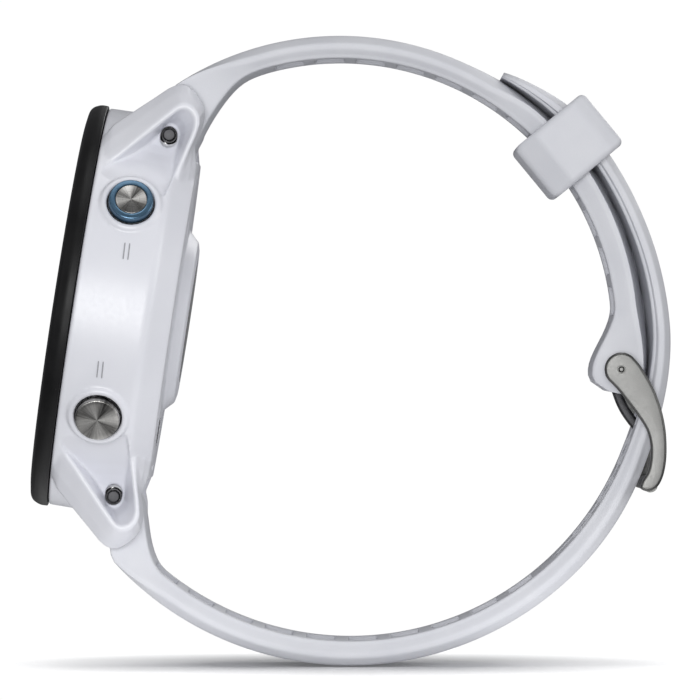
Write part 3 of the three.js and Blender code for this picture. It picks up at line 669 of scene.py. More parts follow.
def stage():
    size = 0.16
    corners = [(x, y, FLOOR) for x, y in box((-size, -size), (size, size))]
    ground = build("floor", corners, [(0, 1, 2, 3)])
    ground.data.materials.append(pale_floor())

    world = bpy.data.worlds.new("studio")
    world.use_nodes = True
    nodes, links = world.node_tree.nodes, world.node_tree.links
    soft = nodes["Background"]
    soft.inputs["Color"].default_value = (0.96, 0.97, 1.0, 1)
    soft.inputs["Strength"].default_value = 0.17
    backdrop = nodes.new("ShaderNodeBackground")
    backdrop.inputs["Color"].default_value = (1, 1, 1, 1)
    backdrop.inputs["Strength"].default_value = 1.02
    choose = nodes.new("ShaderNodeMixShader")
    links.new(nodes.new("ShaderNodeLightPath").outputs["Is Camera Ray"], choose.inputs[0])
    links.new(soft.outputs[0], choose.inputs[1])
    links.new(backdrop.outputs[0], choose.inputs[2])
    links.new(choose.outputs[0], nodes["World Output"].inputs["Surface"])
    bpy.context.scene.world = world
    bpy.context.scene.view_settings.view_transform = "Standard"

    target = Vector((MIDDLE * MM, 0, 0.036))
    softboxes = {
        "front_softbox": ((0.92, -0.05, 0.08), 0.42, 5.4),
        "top_softbox": ((0.20, 0.0, 0.80), 0.45, 1.3),
        "left_softbox": ((0.30, -0.85, 0.25), 0.5, 0.5),
        "right_softbox": ((0.30, 0.85, 0.25), 0.5, 2.1),
        "back_softbox": ((-0.85, 0.45, 0.55), 0.6, 3.0),
    }
    for name, (place, width, power) in softboxes.items():
        light = bpy.data.lights.new(name, "AREA")
        light.size = width
        light.energy = power
        lamp = bpy.data.objects.new(name, light)
        bpy.context.scene.collection.objects.link(lamp)
        lamp.location = place
        lamp.rotation_mode = "QUATERNION"
        lamp.rotation_quaternion = (target - Vector(place)).to_track_quat("-Z", "Y")


def camera():
    """The photo's view: level, from three o'clock, with the lens that frames the watch as it does."""
    distance = 1.0
    lens = bpy.data.cameras.new("camera")
    lens.lens = 447.4
    lens.sensor_width = 36
    lens.clip_start = 0.01
    lens.clip_end = 20
    made = bpy.data.objects.new("camera", lens)
    bpy.context.scene.collection.objects.link(made)
    made.location = (MIDDLE * MM + distance, 0.00012, 0.03615)
    made.rotation_mode = "QUATERNION"
    made.rotation_quaternion = Vector((-1, 0, 0)).to_track_quat("-Z", "Y")
    bpy.context.scene.camera = made


# ---- Case -------------------------------------------------------------------------------------


def rim_place(name):
    """Where a button sits: z points out along its stem, and z = 0 is the face of its boss."""
    place, aim = (math.radians(a) for a in BUTTONS[name])
    turn = Matrix.Rotation(aim, 4, "Z") @ Matrix.Rotation(math.pi / 2, 4, "Y")
    return Matrix.Translation((*polar(BUTTON_FACE, place), -BUTTON_DEPTH)) @ turn


def lug_skin(name, first, last, shares, side, hand):
    """A skin across x. Each section lies a share of the way from the first outline to the last."""
    return skin(name, [[in_case(hand * x, lerp(a[0], b[0], share), side * lerp(a[1], b[1], share))
                        for a, b in zip(first, last)] for x, share in shares])


def lug(side, hand):
    """Half a lug block: a core with the lug's outline that leans in to the ridge round the pocket."""
    shares = [(0, 0.0), (LUG_CORE, 0.0), (lerp(LUG_CORE, LUG_CREST, 0.45), 0.36),
              (lerp(LUG_CORE, LUG_CREST, 0.85), 0.80), (LUG_CREST, 1.0)]
    return lug_skin("lug", LUG_OUTLINE, LUG_RIDGE, shares, side, hand)


def lug_pocket(side, hand):
    """The pocket in a lug's outer face. Its walls close in from the ridge to the end of the bar."""
    rim = LUG_CREST + 0.02
    shares = [(POCKET_FLOOR - 1, 0.0), (POCKET_FLOOR, 0.0), (lerp(POCKET_FLOOR, rim, 0.5), 0.42),
              (rim, 1.0), (rim + 5, 1.2)]
    walls = lug_skin("pocket", POCKET_FOOT, POCKET_MOUTH, shares, side, hand)
    rows = [[in_case(hand * x, depth, side * (height + 0.1 * (BUTTON_DEPTH - depth)))
             for x, height in POCKET_DIVE] for depth in (0, 16)]
    return combine(walls, "INTERSECT", skin("dive", rows))


def root_room(side):
    """The room between the lugs in which the band's root turns."""
    centre = (BAR_DEPTH, side * BAR_HEIGHT)
    drum = rod("room", ROOT_RADIUS + 0.3, -LUG_GAP, LUG_GAP, in_case, centre, segments=64)
    way = [(BAR_DEPTH - 3.2, BAR_HEIGHT), (BAR_DEPTH - 4.1, 30), (18, 30), (18, 18.4),
           (BAR_DEPTH, BAR_HEIGHT - 2.6)]
    way = [(depth, side * height) for depth, height in way]
    return [drum, prism("way", way, -LUG_GAP, LUG_GAP, in_case)]


def screw_spots():
    return [polar(SCREW_RING, math.radians(a)) for a in (45, 135, 225, 315)]


def case_body():
    """The case: a turned shell with four lugs and five bosses, hollowed for what it holds."""
    shell = turned("case_shell", rounded([
        (0, BEZEL_DEPTH + 0.1), (CASE_RADIUS - 0.1, BEZEL_DEPTH + 0.1), (CASE_RADIUS, BEVEL_START),
        (BACK_RADIUS, BACK_DEPTH), (0, BACK_DEPTH)], [0, 0.3, 1.6, 0.5, 0], 8), 256)
    corners = [(side, hand) for side in (1, -1) for hand in (1, -1)]
    for side, hand in corners:
        join(shell, lug(side, hand))
    for side, hand in corners:
        cut(shell, lug_pocket(side, hand))
    for name in BUTTONS:
        boss = turned("boss", rounded([(0, 2.6), (3.95, 2.6), (3.45, 0), (0, 0)], [0, 0, 0.5, 0], 6), 96)
        join(shell, transform(boss, rim_place(name)))
    cavity_radius, cavity_step, cavity_flat, throat_radius = 20.5, 6.4, 16.6, 13.6
    front = disc("front", cavity_radius, -1, cavity_step)
    middle = disc("middle", cavity_radius, 5, LEDGE_DEPTH)
    flats = prism("flats", box((0, -cavity_flat), (20, cavity_flat)), -30, 30, in_case)
    combine(middle, "INTERSECT", flats)
    throat = disc("throat", throat_radius, 9, 20)
    opening = disc("opening", BACK_OPENING, LEDGE_BACK, 20, 160)
    cut(shell, front, middle, throat, opening, *root_room(1), *root_room(-1))
    bar_slot, slot_length = 0.95, 0.5
    for side in (1, -1):
        slot = arc((BAR_DEPTH, BAR_HEIGHT), bar_slot, 0, 180)
        slot += arc((BAR_DEPTH, BAR_HEIGHT - slot_length), bar_slot, 180, 360)
        cut(shell, prism("bar_hole", [(depth, side * height) for depth, height in slot], -20, 20, in_case))
    for name in BUTTONS:
        chamfer = BUTTON_BORE + 0.25
        bore = [(0, 6), (0.85, 6), (0.85, 1.5), (BUTTON_BORE, 1.5), (BUTTON_BORE, 0.12), (chamfer, -0.1),
                (chamfer, -3), (0, -3)]
        cut(shell, transform(turned("bore", bore), rim_place(name)))
    for x, y in screw_spots():
        cut(shell, transform(disc("hole", 0.6, 9, 20, 24), Matrix.Translation((x, y, 0))))
    voxel, passes, kept_share = ((0.17, 4, 0.45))
    soften(shell, voxel, passes, kept_share)
    finished(transform(shell, CASE), "root", "case_white", ["case_body"], sharp=180)


def bezel():
    """The black ring: a lip round the lens, a flat front and a rounded outer edge."""
    lip, seat, seat_depth = LENS_RADIUS + 0.25, 17.7, 1.6
    outline = rounded([
        (lip, 0.2), (LENS_RADIUS + 0.5, 0.02), (21.2, 0.0), (22.75, 0.25), (BEZEL_RADIUS, 1.35),
        (BEZEL_RADIUS - 0.03, 2.2), (BEZEL_RADIUS - 0.2, BEZEL_DEPTH), (seat, BEZEL_DEPTH),
        (seat, seat_depth), (lip, seat_depth)], [0.05, 0.15, 2.5, 1.6, 1.6, 3.0, 0.15, 0, 0, 0], 10)
    finished(transform(turned("bezel", outline, 320), CASE), "root", "bezel_black", ["bezel_ring"])


def lens_and_screen():
    """The flat front glass with its softened rim, and the display panel under it."""
    back = 1.3
    outline = rounded([
        (0, LENS_DEPTH), (LENS_RADIUS - 0.1, LENS_DEPTH), (LENS_RADIUS - 0.02, back), (0, back)],
        [0, 0.3, 0.1, 0], 6)
    finished(turned("lens", outline, 256), "root", "lens_glass", ["front_lens"], local=CASE)
    outline = rounded(box((0, 1.62), (17.3, 2.8)), [0, 0.1, 0.1, 0], 3)
    finished(turned("screen", outline, 192), "root", "screen", ["display_panel"], local=CASE)


def back_cover():
    """The back: a flat rim, a round step up to the sensor, and seats for the port and the screws."""
    reach = BACK_OPENING - 0.3
    made = turned("cover", rounded([
        (0, LEDGE_BACK + 0.25), (reach, LEDGE_BACK + 0.25), (reach, BACK_DEPTH), (10.6, BACK_DEPTH),
        (9.3, SENSOR_DEPTH - 0.25), (8.4, SENSOR_DEPTH - 0.05), (0, SENSOR_DEPTH - 0.05)],
        [0, 0, 0.3, 0.8, 0.6, 0.6, 0], 6), 256)
    outline = rounded(box((-3.7, PORT_HEIGHT - 1.6), (3.7, PORT_HEIGHT + 1.6)), 0.5)
    port = skin("port", [[(x, y, z) for x, y in outline] for z in (-16, -10)])
    cut(made, disc("seat", 7.3, 13.65, 20, 128), disc("window", 6.2, 10, 20), port)
    for x, y in screw_spots():
        sink = [(0, 11), (0.62, 11), (0.62, 12.7), (1.25, 12.7), (1.25, 13.3), (1.45, 13.55),
                (1.45, 20), (0, 20)]
        cut(made, transform(turned("sink", sink, 48), Matrix.Translation((x, y, 0))))
    finished(transform(made, CASE), "root", "case_white", ["back_cover"])


def sensor():
    """The optical window, and under it the light sources and receivers on their board."""
    outline = rounded([
        (0, SENSOR_DEPTH), (5.5, SENSOR_DEPTH), (7.2, SENSOR_DEPTH - 0.1), (7.2, 13.7), (0, 13.7)],
        [0, 2, 0.25, 0.1, 0], 6)
    window = turned("sensor_glass_disc", outline, 160)
    finished(window, "root", "sensor_glass", ["sensor_window"], local=CASE)
    gloss = {"Specular_IOR_Level": 0.6}
    emitter = clouded("emitter", 0.3, (0.4, 2), (0.28, 0.42, 0.12), (0.45, 0.55, 0.2), **gloss)
    receiver = clouded("receiver", 0.2, (0.8, 2), (0.03, 0.035, 0.05), (0.06, 0.065, 0.08), **gloss)
    kinds = (("emitter", 3.7, 90, 0.75, 0.55, emitter), ("receiver", 3.9, 30, 1.1, 0.85, receiver))
    for kind, radius, first, half_wide, half_tall, look in kinds:
        outline = rounded(box((-half_wide, -half_tall), (half_wide, half_tall)), 0.2)
        for i in range(3):
            chip = plate("%s_%d" % (kind, i + 1), outline, 12.1, 13.0, 0.08, on_dial)
            turn = Matrix.Rotation(math.radians(first + 120 * i), 4, "Z")
            place = CASE @ turn @ Matrix.Translation((radius, 0, 0)) @ Matrix.Rotation(math.pi / 2, 4, "Z")
            finished(transform(chip, place), "root", "sensor_glass", look=look.material)


def charging_port():
    """A rubber block with four wells, and a gilt contact at the foot of each."""
    spots = [Matrix.Translation((x, PORT_HEIGHT, 0)) for x in (-2.4, -0.8, 0.8, 2.4)]
    outline = rounded(box((-3.5, PORT_HEIGHT - 1.4), (3.5, PORT_HEIGHT + 1.4)), 0.45)
    body = plate("port_block", outline, 12.25, 13.45, 0.12, on_dial)
    for spot in spots:
        hole = turned("hole", [(0, 10), (0.55, 10), (0.55, 13.3), (0.65, 13.5), (0.65, 20), (0, 20)], 32)
        cut(body, transform(hole, spot))
    finished(transform(body, CASE), "root", "seal_rubber", ["charge_port"])
    for i, spot in enumerate(spots, 1):
        pad = turned("contact_%d" % i, rounded(box((0, 12.3), (0.45, 13.2)), [0, 0, 0.15, 0], 4), 32)
        finished(transform(pad, CASE @ spot), "root", "contact_gold", ["charge_contact_%d" % i])


def back_screws():
    """Four screws, each with a six-pointed socket in its head."""
    turns = np.linspace(0, 2 * math.pi, 48, endpoint=False)
    star = [polar(0.5 * (1 + 0.22 * math.cos(6 * turn)), turn) for turn in turns]
    outline = rounded([(0, 11), (0.45, 11), (0.45, 12.85), (1.1, 12.85), (1.1, 13.4), (0, 13.4)],
                      [0, 0, 0, 0, 0.2, 0], 4)
    for i, (x, y) in enumerate(screw_spots(), 1):
        made = turned("screw_%d" % i, outline, 48)
        cut(made, skin("socket", [[(a, b, z) for a, b in star] for z in (-16, -13.0)]))
        transform(made, CASE @ Matrix.Translation((x, y, 0)))
        finished(made, "root", "steel", ["back_screw_%d" % i])


def side_marks():
    """Two plain pairs of dashes printed on the side between the buttons."""
    look = clouded("print", 0.5, (0.3, 3), (0.30, 0.305, 0.33), (0.38, 0.385, 0.41), (0.3, 0.7, 0.45, 0.6))
    radius = CASE_RADIUS - 0.04
    half_length, half_width, half_gap = 0.95, 0.075, 0.27
    section = [(-0.1, -1), (0.055, -1), (0.07, -0.5), (0.07, 0.5), (0.055, 1), (-0.1, 1)]
    for name, middle_depth, middle_height in (("upper", 7.3, 6.9), ("lower", 6.4, -6.7)):
        for number, shift in ((1, -half_gap), (2, half_gap)):
            rows = []
            for t in np.linspace(-1, 1, 25):
                turn = math.asin((middle_height + half_length * t) / radius)
                wide = half_width * math.sqrt(max(1 - abs(t) ** 12, 0.02))
                depth = middle_depth + shift - 0.04 * t
                row = []
                for out, share in section:
                    x, height = polar(radius + out, turn)
                    row.append(in_case(x, depth + share * wide, height))
                rows.append(row)
            made = transform(skin("mark_%s_%d" % (name, number), rows), CASE)
            finished(made, "root", "case_white", look=look.material)


def buttons():
    """A turned cap on a stem with a groove for its clip, a thin dark rubber sleeve in the bore round it as painted
    shade for the gap round the cap, and an inlay in the blue one.
    """
    top = -BUTTON_PROUD
    stem, clip, groove = 0.75, 3.3, 0.5
    inlay = 1.85
    tail = [(BUTTON_RADIUS - 0.06, top + 0.02), (BUTTON_RADIUS, 0.25), (stem, 0.25), (stem, clip),
            (groove, clip), (groove, clip + 0.4), (stem, clip + 0.4), (stem, 3.9), (0, 3.9)]
    tail_radii = [0.2, 0.05] + [0] * 7
    for name in BUTTONS:
        place = CASE @ rim_place(name)
        blue = name == "start_button"
        slot = "button_blue" if blue else "button_steel"
        head, radii = [(0, top + 0.03), (1.9, top)], [0, 0.5]
        if blue:
            head = [(0, top + 0.3), (inlay, top + 0.3), (inlay, top + 0.02), (inlay + 0.12, top)]
            radii = [0, 0, 0, 0.08]
        cap = turned(name + "_cap", rounded(head + tail, radii + tail_radii, 6), 128)
        finished(cap, name, slot, [name], local=place)
        if blue:
            outline = rounded(box((0, top), (inlay - 0.07, top + 0.28)), [0, 0.06, 0, 0], 4)
            finished(turned("start_disc", outline, 128), name, "button_steel", ["start_inlay"], local=place)
        # painted shade: a thin dark rubber sleeve lining the bore, so the gap round the cap reads dark
        lip = rounded(box((BUTTON_RADIUS + 0.06, 0.2), (BUTTON_BORE - 0.04, 1.35)), 0.05, 3)
        finished(turned(name + "_gap_shade_sleeve", lip), "root", "seal_rubber", local=place)


def bar_tips():
    for name, side, hand, sign in BAR_ENDS:
        node = "%s_bar_tip_%s" % (name, hand)
        low, high = sorted((sign * 7.8, sign * 11.75))
        centre = (BAR_DEPTH, side * BAR_HEIGHT)
        made = rod(node + "_pin", BAR_TIP_RADIUS, low, high, in_case, centre, edge=0.15)
        finished(transform(made, CASE), node, "steel", [node])


def coil(name, radius, turns, length):
    """A round wire coil that stands on the origin and rises along z."""
    wire, per_turn, wire_sides = 0.11, 24, 8
    rows = []
    for step in range(turns * per_turn + 1):
        turn = 2 * math.pi * step / per_turn
        rise = lerp(wire, length - wire, step / (turns * per_turn))
        row = []
        for k in range(wire_sides):
            out, up = polar(wire, 2 * math.pi * k / wire_sides)
            row.append((*polar(radius + out, turn), rise + up))
        rows.append(row)
    return skin(name, rows)


def squashed_coil(made, place, nodes):
    """Puts a coil in its place on the root and gives it a mesh of its own."""
    finished(transform(made, place), "root", "steel", nodes)
    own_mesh(made)


def springs():
    """The return spring under each button, and the two halves of the spring in each spring bar."""
    for name in BUTTONS:
        place = CASE @ rim_place(name) @ Matrix.Translation((0, 0, -1.45))
        squashed_coil(coil(name + "_coil", 1.95, 2, 1.13), place, [name + "_spring"])
    for name, side, hand, sign in BAR_ENDS:
        spot = Matrix.Translation(in_case(sign * 0.02, BAR_DEPTH, side * BAR_HEIGHT))
        place = CASE @ spot @ Matrix.Rotation(sign * math.pi / 2, 4, "Y")
        made = coil("%s_bar_coil_%s" % (name, hand), 0.5, 7, 7.5)
        squashed_coil(made, place, [name + "_bar_spring"])


# ---- Band -------------------------------------------------------------------------------------


def width_at(fraction):
    return lerp(BAND_WIDTH_LUG, BAND_WIDTH_BUCKLE, smooth(fraction))


def band_profile(half, inner, outer, drop):
    """Half a section of the band from the middle of its inside to the middle of its outside. The side
    leans out, stands upright below the ridge, then slopes in and meets the crowned outside."""
    scale = min(1, (outer - inner) / 2)
    ridge = outer - drop
    round_edge = 0.35 * scale
    foot = half - 0.55 * scale
    flat = foot - round_edge
    across = np.array([0, 1.2, 2.0, 2.5, 2.8, 2.95, 3.1, 3.4, 4.2, 5.0, 5.8, 6.2, 6.35, 6.5, 6.65, 6.9,
                       7.6, 8.4])
    across = across * min(1, (flat - 0.3) / across[-1])
    points = [(x, inner) for x in across]
    points += [(flat + round_edge * math.sin(a), inner + round_edge * (1 - math.cos(a)))
               for a in np.linspace(0, math.pi / 2, 5)]
    low = inner + round_edge
    upright = max(ridge - 0.62 * scale, low + 0.1 * scale)
    points += [(lerp(foot, half, t), lerp(low, upright, t)) for t in (0.25, 0.5, 0.75)]
    points += [(half - 0.03 * scale, upright), (half, upright + 0.12 * scale), (half, ridge - 0.08 * scale),
               (half - 0.04 * scale, ridge + 0.04 * scale)]
    slope = outer - 0.26 * scale
    points += [(lerp(half - 0.1 * scale, half - 1.55 * scale, t), lerp(ridge + 0.08 * scale, slope, t))
               for t in (0.2, 0.5, 0.8)]
    start, edge = half - 1.75 * scale, outer - 0.2 * scale
    points += [(start * (1 - t), outer - (outer - edge) * (1 - t) ** 2) for t in np.linspace(0, 1, 12)]
    return points


def band_section(centre, angle, half, inner, outer, drop, dent, rise=None):
    """A whole section: dent(x) lifts its inner face, and rise(x) its crowned outer face."""
    right = band_profile(half, inner, outer, drop)
    left = [(-x, radius) for x, radius in right[-2:0:-1]]
    crown = outer - 0.23 * min(1, (outer - inner) / 2)
    section = []
    for x, radius in right + left:
        if radius < inner + 1e-6:
            radius += dent(x)
        elif rise and radius > crown:
            radius += rise(x)
        section.append(in_band(x, *polar(radius, math.radians(angle), centre)))
    return section


def lap_share(gap, half, hand):
    """How far one half swells into the gap it shares with the other. The shares lean opposite ways, so
    that they don't touch and yet leave no straight way through."""
    reach = half - 1.0

    def share(x):
        return gap * (LAP_FILL + hand * LAP_LEAN * x / reach) * min(1, max(0, 1.25 * (1 - abs(x) / reach)))

    return share


def pocket_dent(angle, centres, radius, clear=0.0):
    """How deep the inside is pressed in at an angle, as a function of x: a row of shallow pockets, each
    split in two where the middle of the band stays clear."""
    half_length, half_width, depth, edge = 1.6, 6.45, 0.7, 0.22
    along = min(abs(angle - centre) for centre in centres)
    share = 1 - smooth((math.radians(along) * radius - half_length + edge / 2) / edge)

    def dent(x):
        inside = smooth((abs(x) - clear + edge) / edge) if clear else 1
        return depth * share * inside * (1 - smooth((abs(x) - half_width + edge / 2) / edge))

    return dent


def band_angles(start, end, centres, radius):
    """Angles of the sections: even steps, closer at the ends of each pocket."""
    angles = list(np.arange(start, end, 1.35)) + [end]
    for centre in centres:
        for along in (1.2, 1.44, 1.52, 1.6, 1.68, 1.76, 2.0):
            turn = math.degrees(along / radius)
            angles += [centre - turn, centre + turn]
    angles = sorted(a for a in angles if start <= a <= end)
    kept = [angles[0]]
    for angle in angles[1:]:
        if angle - kept[-1] > 0.06:
            kept.append(angle)
    return kept


def add_root(made, bar):
    """Joins the round root that turns between the lugs, and bores it for the spring bar."""
    half = BAND_WIDTH_LUG / 2
    join(made, rod("root", ROOT_RADIUS, -half, half, in_band, bar, 0.3, 64))
    cut(made, rod("bore", 1.1, -20, 20, in_band, bar))


def buckle_lobe(angle):
    """How far the upper half has swollen into the lobe that carries the buckle."""
    return smooth((6.7 - angle) / 14.3)


def lug_flare(angle):
    """How far the lower half has thickened towards the lug."""
    return smooth((-129 - angle) / 16)


def upper_outer(angle):
    root = smooth((angle - 123) / 7)
    return UPPER_INNER + UPPER_THICKNESS - 1.7 * root + 0.9 * buckle_lobe(angle)


def lower_inner(angle):
    climb = smooth((angle + 22) / 26)
    lift = smooth((angle - 20) / 34)
    return LOWER_INNER + 0.8 * climb + 0.5 * lift - 4.1 * lug_flare(angle)


def on_lower_band(radius, angle):
    return polar(radius, math.radians(angle), LOWER_CENTRE)


def lap_seen_from_upper(angle):
    """The lower half's inside at an angle of its own, as (angle, radius) of the upper half."""
    spot = on_lower_band(lower_inner(angle), angle) - UPPER_CENTRE
    return math.degrees(math.atan2(spot[1], spot[0])), np.linalg.norm(spot)


def lap_gap(angle):
    """The gap between the two halves where the lower one laps the upper, at an angle of the lower."""
    above, radius = lap_seen_from_upper(angle)
    return max(radius - upper_outer(above), 0) * smooth((angle + 13) / 3)


def upper_strap():
    """The half with the buckle: root, even band, and a lobe whose end is cut out for the tongue."""
    end, root_end, top_pocket = -11.9, 129.5, 92.1
    inner_corner, outer_corner = 2.2, 1.2
    centres = [top_pocket - UPPER_PITCH * i for i in range(-1, 11)]

    def turn_in(angle, radius):
        corner = np.clip(radius - math.radians(angle - end) * UPPER_INNER, 0, radius)
        return radius - math.sqrt(radius**2 - corner**2)

    def inner(angle):
        flare_width = 1.5
        flare = 0.27 * flare_width * math.log1p(math.exp(min((angle - 111) / flare_width, 40)))
        return UPPER_INNER - flare - 2.5 * buckle_lobe(angle) + turn_in(angle, inner_corner)

    lap = np.linspace(-13, 62, 151)
    seen = [lap_seen_from_upper(angle)[0] for angle in lap]
    gaps = [lap_gap(angle) for angle in lap]
    sections = []
    for angle in band_angles(end, root_end, centres, UPPER_INNER)[::-1]:
        half = width_at((120 - angle) / 60) / 2
        outer = upper_outer(angle) - turn_in(angle, outer_corner)
        drop = lerp(1.15, 0.35, smooth((angle - 106) / 16)) - 0.7 * smooth((60 - angle) / 12)
        dent = pocket_dent(angle, centres, UPPER_INNER)
        gap = np.interp(angle, seen, gaps) * smooth((66 - angle) / 8)
        sections.append(band_section(
            UPPER_CENTRE, angle, half, inner(angle), outer, drop, dent, lap_share(gap, half, 1)))
    made = skin("strap_upper", sections)
    add_root(made, joint_place("upper_strap_hinge"))
    pin_bore = rod("bore", PIN_RADIUS + 0.25, -20, 20, in_band, PIN)
    tongue_slot = rounded(box(PIN + (-2.3, -6.3), PIN + (9.7, 2.7)), 0.4)
    slot_half = 1.7
    cut(made, pin_bore, prism("slot", tongue_slot, -slot_half, slot_half, in_band))
    finished(made, "upper_strap", "band_silicone", ["upper_strap"], sharp=50)


def lower_outer(angle):
    thin = smooth((angle + 45) / 60)
    wedge = np.clip((angle - 48) / 12.5, 0, 1)
    thick = lerp(lerp(LOWER_THICKNESS, TAIL_THICKNESS, thin), 0.75, wedge)
    root = smooth((-137 - angle) / 8.5)
    return lower_inner(angle) + 4.1 * lug_flare(angle) + thick - 2.8 * root


def adjustment_hole(angle):
    """A slot through the lower half, a little wider at both faces."""
    low, high = lower_inner(angle) - LAP_FILL * lap_gap(angle), lower_outer(angle)
    half_thick = (high - low) / 2
    outline = arc((0.5, 0), 1.5, -90, 90, 12) + arc((-0.5, 0), 1.5, 90, 270, 12)
    flare = [(half_thick - 0.35, 0), (half_thick - 0.12, 0.1), (half_thick, 0.3), (half_thick + 1.5, 0.35)]
    levels = [(-level, grow) for level, grow in flare[::-1]] + flare
    out = polar(1, math.radians(angle))
    along = np.array((-out[1], out[0]))
    rows = []
    for level, grow in levels:
        row = []
        for a, b in outline:
            larger = 1 + grow / math.hypot(a, b)
            spot = LOWER_CENTRE + out * ((low + high) / 2 + level) + along * a * larger
            row.append(in_band(b * larger, *spot))
        rows.append(row)
    return skin("hole", rows)


def lower_strap():
    """The half with the adjustment holes: root, even band, and a thin tail that laps the upper half."""
    root_end, tip, middle_pocket = -145.5, 60.5, -87.5
    middle_bridge, holes_begin = 2.95, -46
    bare = [middle_pocket + HOLE_PITCH * i for i in range(-5, 5)]
    between = [HOLE_FIRST + HOLE_PITCH * (i + 0.5) for i in range(4)]
    centres = bare + between
    sections = []
    for angle in band_angles(root_end, tip, centres, LOWER_INNER):
        tail = np.clip((angle - 55) / 5.5, 0, 1)
        half = width_at((angle + 130) / 60) / 2 - 3.4 * (1 - math.sqrt(1 - 0.97 * tail**2))
        clear = middle_bridge if angle > holes_begin else 0.0
        dent = pocket_dent(angle, centres, LOWER_INNER, clear)
        inner, outer = lower_inner(angle), lower_outer(angle)
        fill = lap_share(lap_gap(angle), half, -1)

        def shape(x):
            return dent(x) - fill(x)

        drop = min(lerp(1.15, 0.35, smooth((-124 - angle) / 14)), 0.45 * (outer - inner))
        sections.append(band_section(LOWER_CENTRE, angle, half, inner, outer, drop, shape))
    made = skin("strap_lower", sections)
    add_root(made, joint_place("lower_strap_hinge"))
    for i in range(HOLE_COUNT):
        cut(made, adjustment_hole(HOLE_FIRST + HOLE_PITCH * i))
    finished(made, "lower_strap", "band_silicone", ["lower_strap"], sharp=50)


def even(outline, count=120):
    """An outline resampled by the angle seen from its middle, so that two outlines match."""
    points = np.array(outline)
    middle = (points.min(0) + points.max(0)) / 2
    span = (points.max(0) - points.min(0)) / 2
    angles = np.arctan2((points - middle)[:, 1] / span[1], (points - middle)[:, 0] / span[0])
    order = np.argsort(angles)
    angles, points = angles[order], points[order]
    wanted = np.linspace(-math.pi, math.pi, count, endpoint=False)
    angles = np.concatenate((angles - 2 * math.pi, angles, angles + 2 * math.pi))
    points = np.concatenate((points, points, points))
    return np.stack([np.interp(wanted, angles, points[:, i]) for i in (0, 1)], 1)


def keeper():
    """A soft loop: an even ring whose wall has round ends, with softly rounded long edges."""
    inner_face, outer_face, half = 28.7, 38.85, 12.3
    lean, low, high = 1.5, 2.8, 1.75
    wall = 1.45
    right = [(half - lean, inner_face), (half, inner_face + low), (half, outer_face - high),
             (half - lean, outer_face)]
    loop = right + [(-x, radius) for x, radius in right[::-1]]
    corners = [1.2, 0.9, 0.9, 1.2]
    outside = even(rounded(loop, corners + corners[::-1], 8))
    within = even(rounded(box((-10.75, 30.1), (10.75, 37.5)), [1.1, 1.1, 0.9, 0.9], 10))
    half_length = KEEPER_LENGTH / 2
    path = rounded(box((-half_length, 0), (half_length, wall)), [1.05, 1.05, 0.35, 0.35], 8)
    out = polar(1, math.radians(KEEPER_ANGLE))
    along = np.array((-out[1], out[0]))
    rows = []
    for shift, depth in path:
        row = []
        for a, b in zip(outside, within):
            x, radius = lerp(a, b, depth / wall)
            row.append(in_band(x, *(UPPER_CENTRE + out * radius + along * shift)))
        rows.append(row)
    made = skin("keeper", rows, closed_rows=True)
    finished(made, "keeper", "band_silicone", ["keeper_loop"], sharp=60)


def buckle():
    """Two curved arms with round ears on the pin, joined by the far bar."""
    outer_edge = [(2.3, 0.2), (3.0, -0.95), (3.75, -2.4), (4.45, -4.3), (4.9, -6.2), (5.1, -8.1),
                  (5.07, -10.3), (4.72, -12.1), (4.1, -13.3), (3.1, -13.85)]
    inner_edge = [(2.2, -13.55), (2.35, -12.7), (3.0, -11.6), (3.3, -10.0), (3.27, -8.4), (2.86, -6.9),
                  (1.95, -5.4), (0.72, -3.75), (-0.3, -2.45), (-1.0, -1.7)]
    ear_radius, bar_radius, soft_edge = 1.92, 0.85, 0.32
    ear = arc((0, 0), ear_radius, 216, 36, 9)
    outline = [PIN + spot for spot in curve_through(ear + outer_edge + inner_edge, 5, closed=True)]
    reach = BUCKLE_INSIDE + BUCKLE_ARM
    right = plate("buckle", outline, BUCKLE_INSIDE, reach, soft_edge, in_band, 5)
    left = plate("arm", outline, -reach, -BUCKLE_INSIDE, soft_edge, in_band, 5)
    made = join(right, left)
    join(made, rod("bar", bar_radius, -BUCKLE_INSIDE - 0.5, BUCKLE_INSIDE + 0.5, in_band, FAR_BAR))
    seat = rod("bore", PIN_RADIUS + 0.1, -11.6, 11.6, in_band, PIN)
    cut(made, seat, rod("bore", 0.5, -20, 20, in_band, PIN))
    finished(made, "buckle", "buckle_steel", ["buckle_frame"], sharp=40)


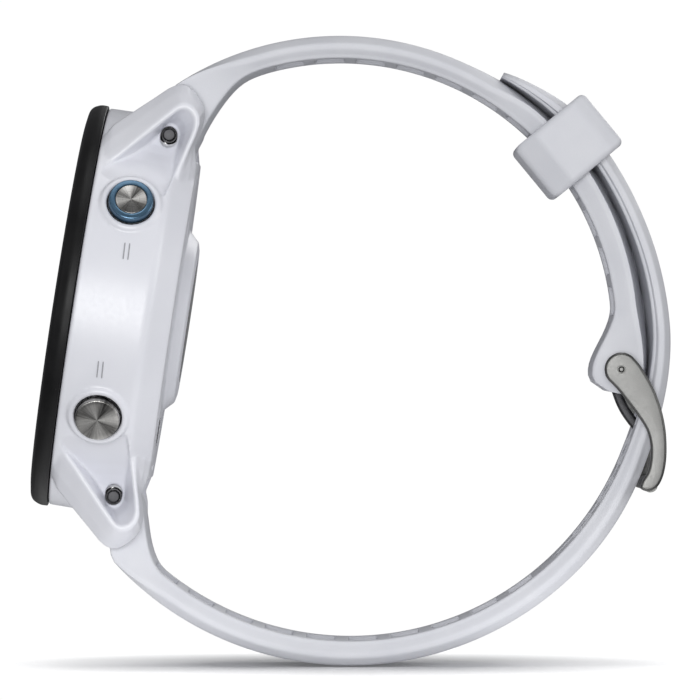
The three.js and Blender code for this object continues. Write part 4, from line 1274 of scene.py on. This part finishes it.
def buckle_pin():
    """The pin across the ears, with a thinner end in each arm."""
    end, neck, shoulder = BUCKLE_INSIDE + BUCKLE_ARM - 0.1, 0.36, 11.5
    half = [(0, end), (0.32, end), (neck, end - 0.3), (neck, shoulder), (PIN_RADIUS, shoulder)]
    radii = [0, 0.2, 0.04, 0, 0.06]
    outline = [(radius, -along) for radius, along in half] + half[::-1]
    pin = turned("pin", rounded(outline, radii + radii[::-1], 4), 48)
    place = Matrix.Translation((MIDDLE, *PIN)) @ Matrix.Rotation(math.pi / 2, 4, "Y")
    finished(pin, "buckle", "buckle_steel", ["buckle_pin"], local=place)


def tongue():
    """A round eye on the pin and a bent blade through the band, over the far bar."""
    line = np.array(curve_through([
        PIN + (-0.7, -0.9), PIN + (0.3, -3.85), on_lower_band(33.6, -15.1), on_lower_band(36.8, -18.4),
        on_lower_band(37.55, -20.2), on_lower_band(37.6, -23.2)], 8))
    tangent = np.gradient(line, axis=0)
    tangent /= np.linalg.norm(tangent, axis=1)[:, None]
    across = np.stack((-tangent[:, 1], tangent[:, 0]), 1)
    half_thick, half_wide, eye_radius = 0.55, 1.0, 1.6
    rows = []
    for i, (spot, side) in enumerate(zip(line, across)):
        end = np.clip((i - len(line) + 7) / 6, 0, 1)
        tall = half_thick * math.sqrt(1 - 0.93 * end**2)
        wide = half_wide * math.sqrt(1 - 0.6 * end**2)
        section = rounded(box((-wide, -tall), (wide, tall)), 0.3, 4)
        rows.append([in_band(x, *(spot + side * up)) for x, up in section])
    made = skin("tongue", rows)
    eye = rod("eye", eye_radius, -half_wide, half_wide, in_band, PIN, 0.25)
    cut(join(made, eye), rod("bore", PIN_RADIUS + 0.1, -5, 5, in_band, PIN))
    # painted shade: the tongue takes the darker steel look, not the buckle's own finish, for the shadow it lies in
    # under the buckle's arm
    finished(made, "tongue", "buckle_steel", ["buckle_tongue"], look=LOOKS["steel"])


# ---- The scene --------------------------------------------------------------------------------

stage()
camera()
case_body()
bezel()
lens_and_screen()
back_cover()
sensor()
charging_port()
back_screws()
side_marks()
buttons()
bar_tips()
springs()
upper_strap()
lower_strap()
keeper()
buckle()
buckle_pin()
tongue()
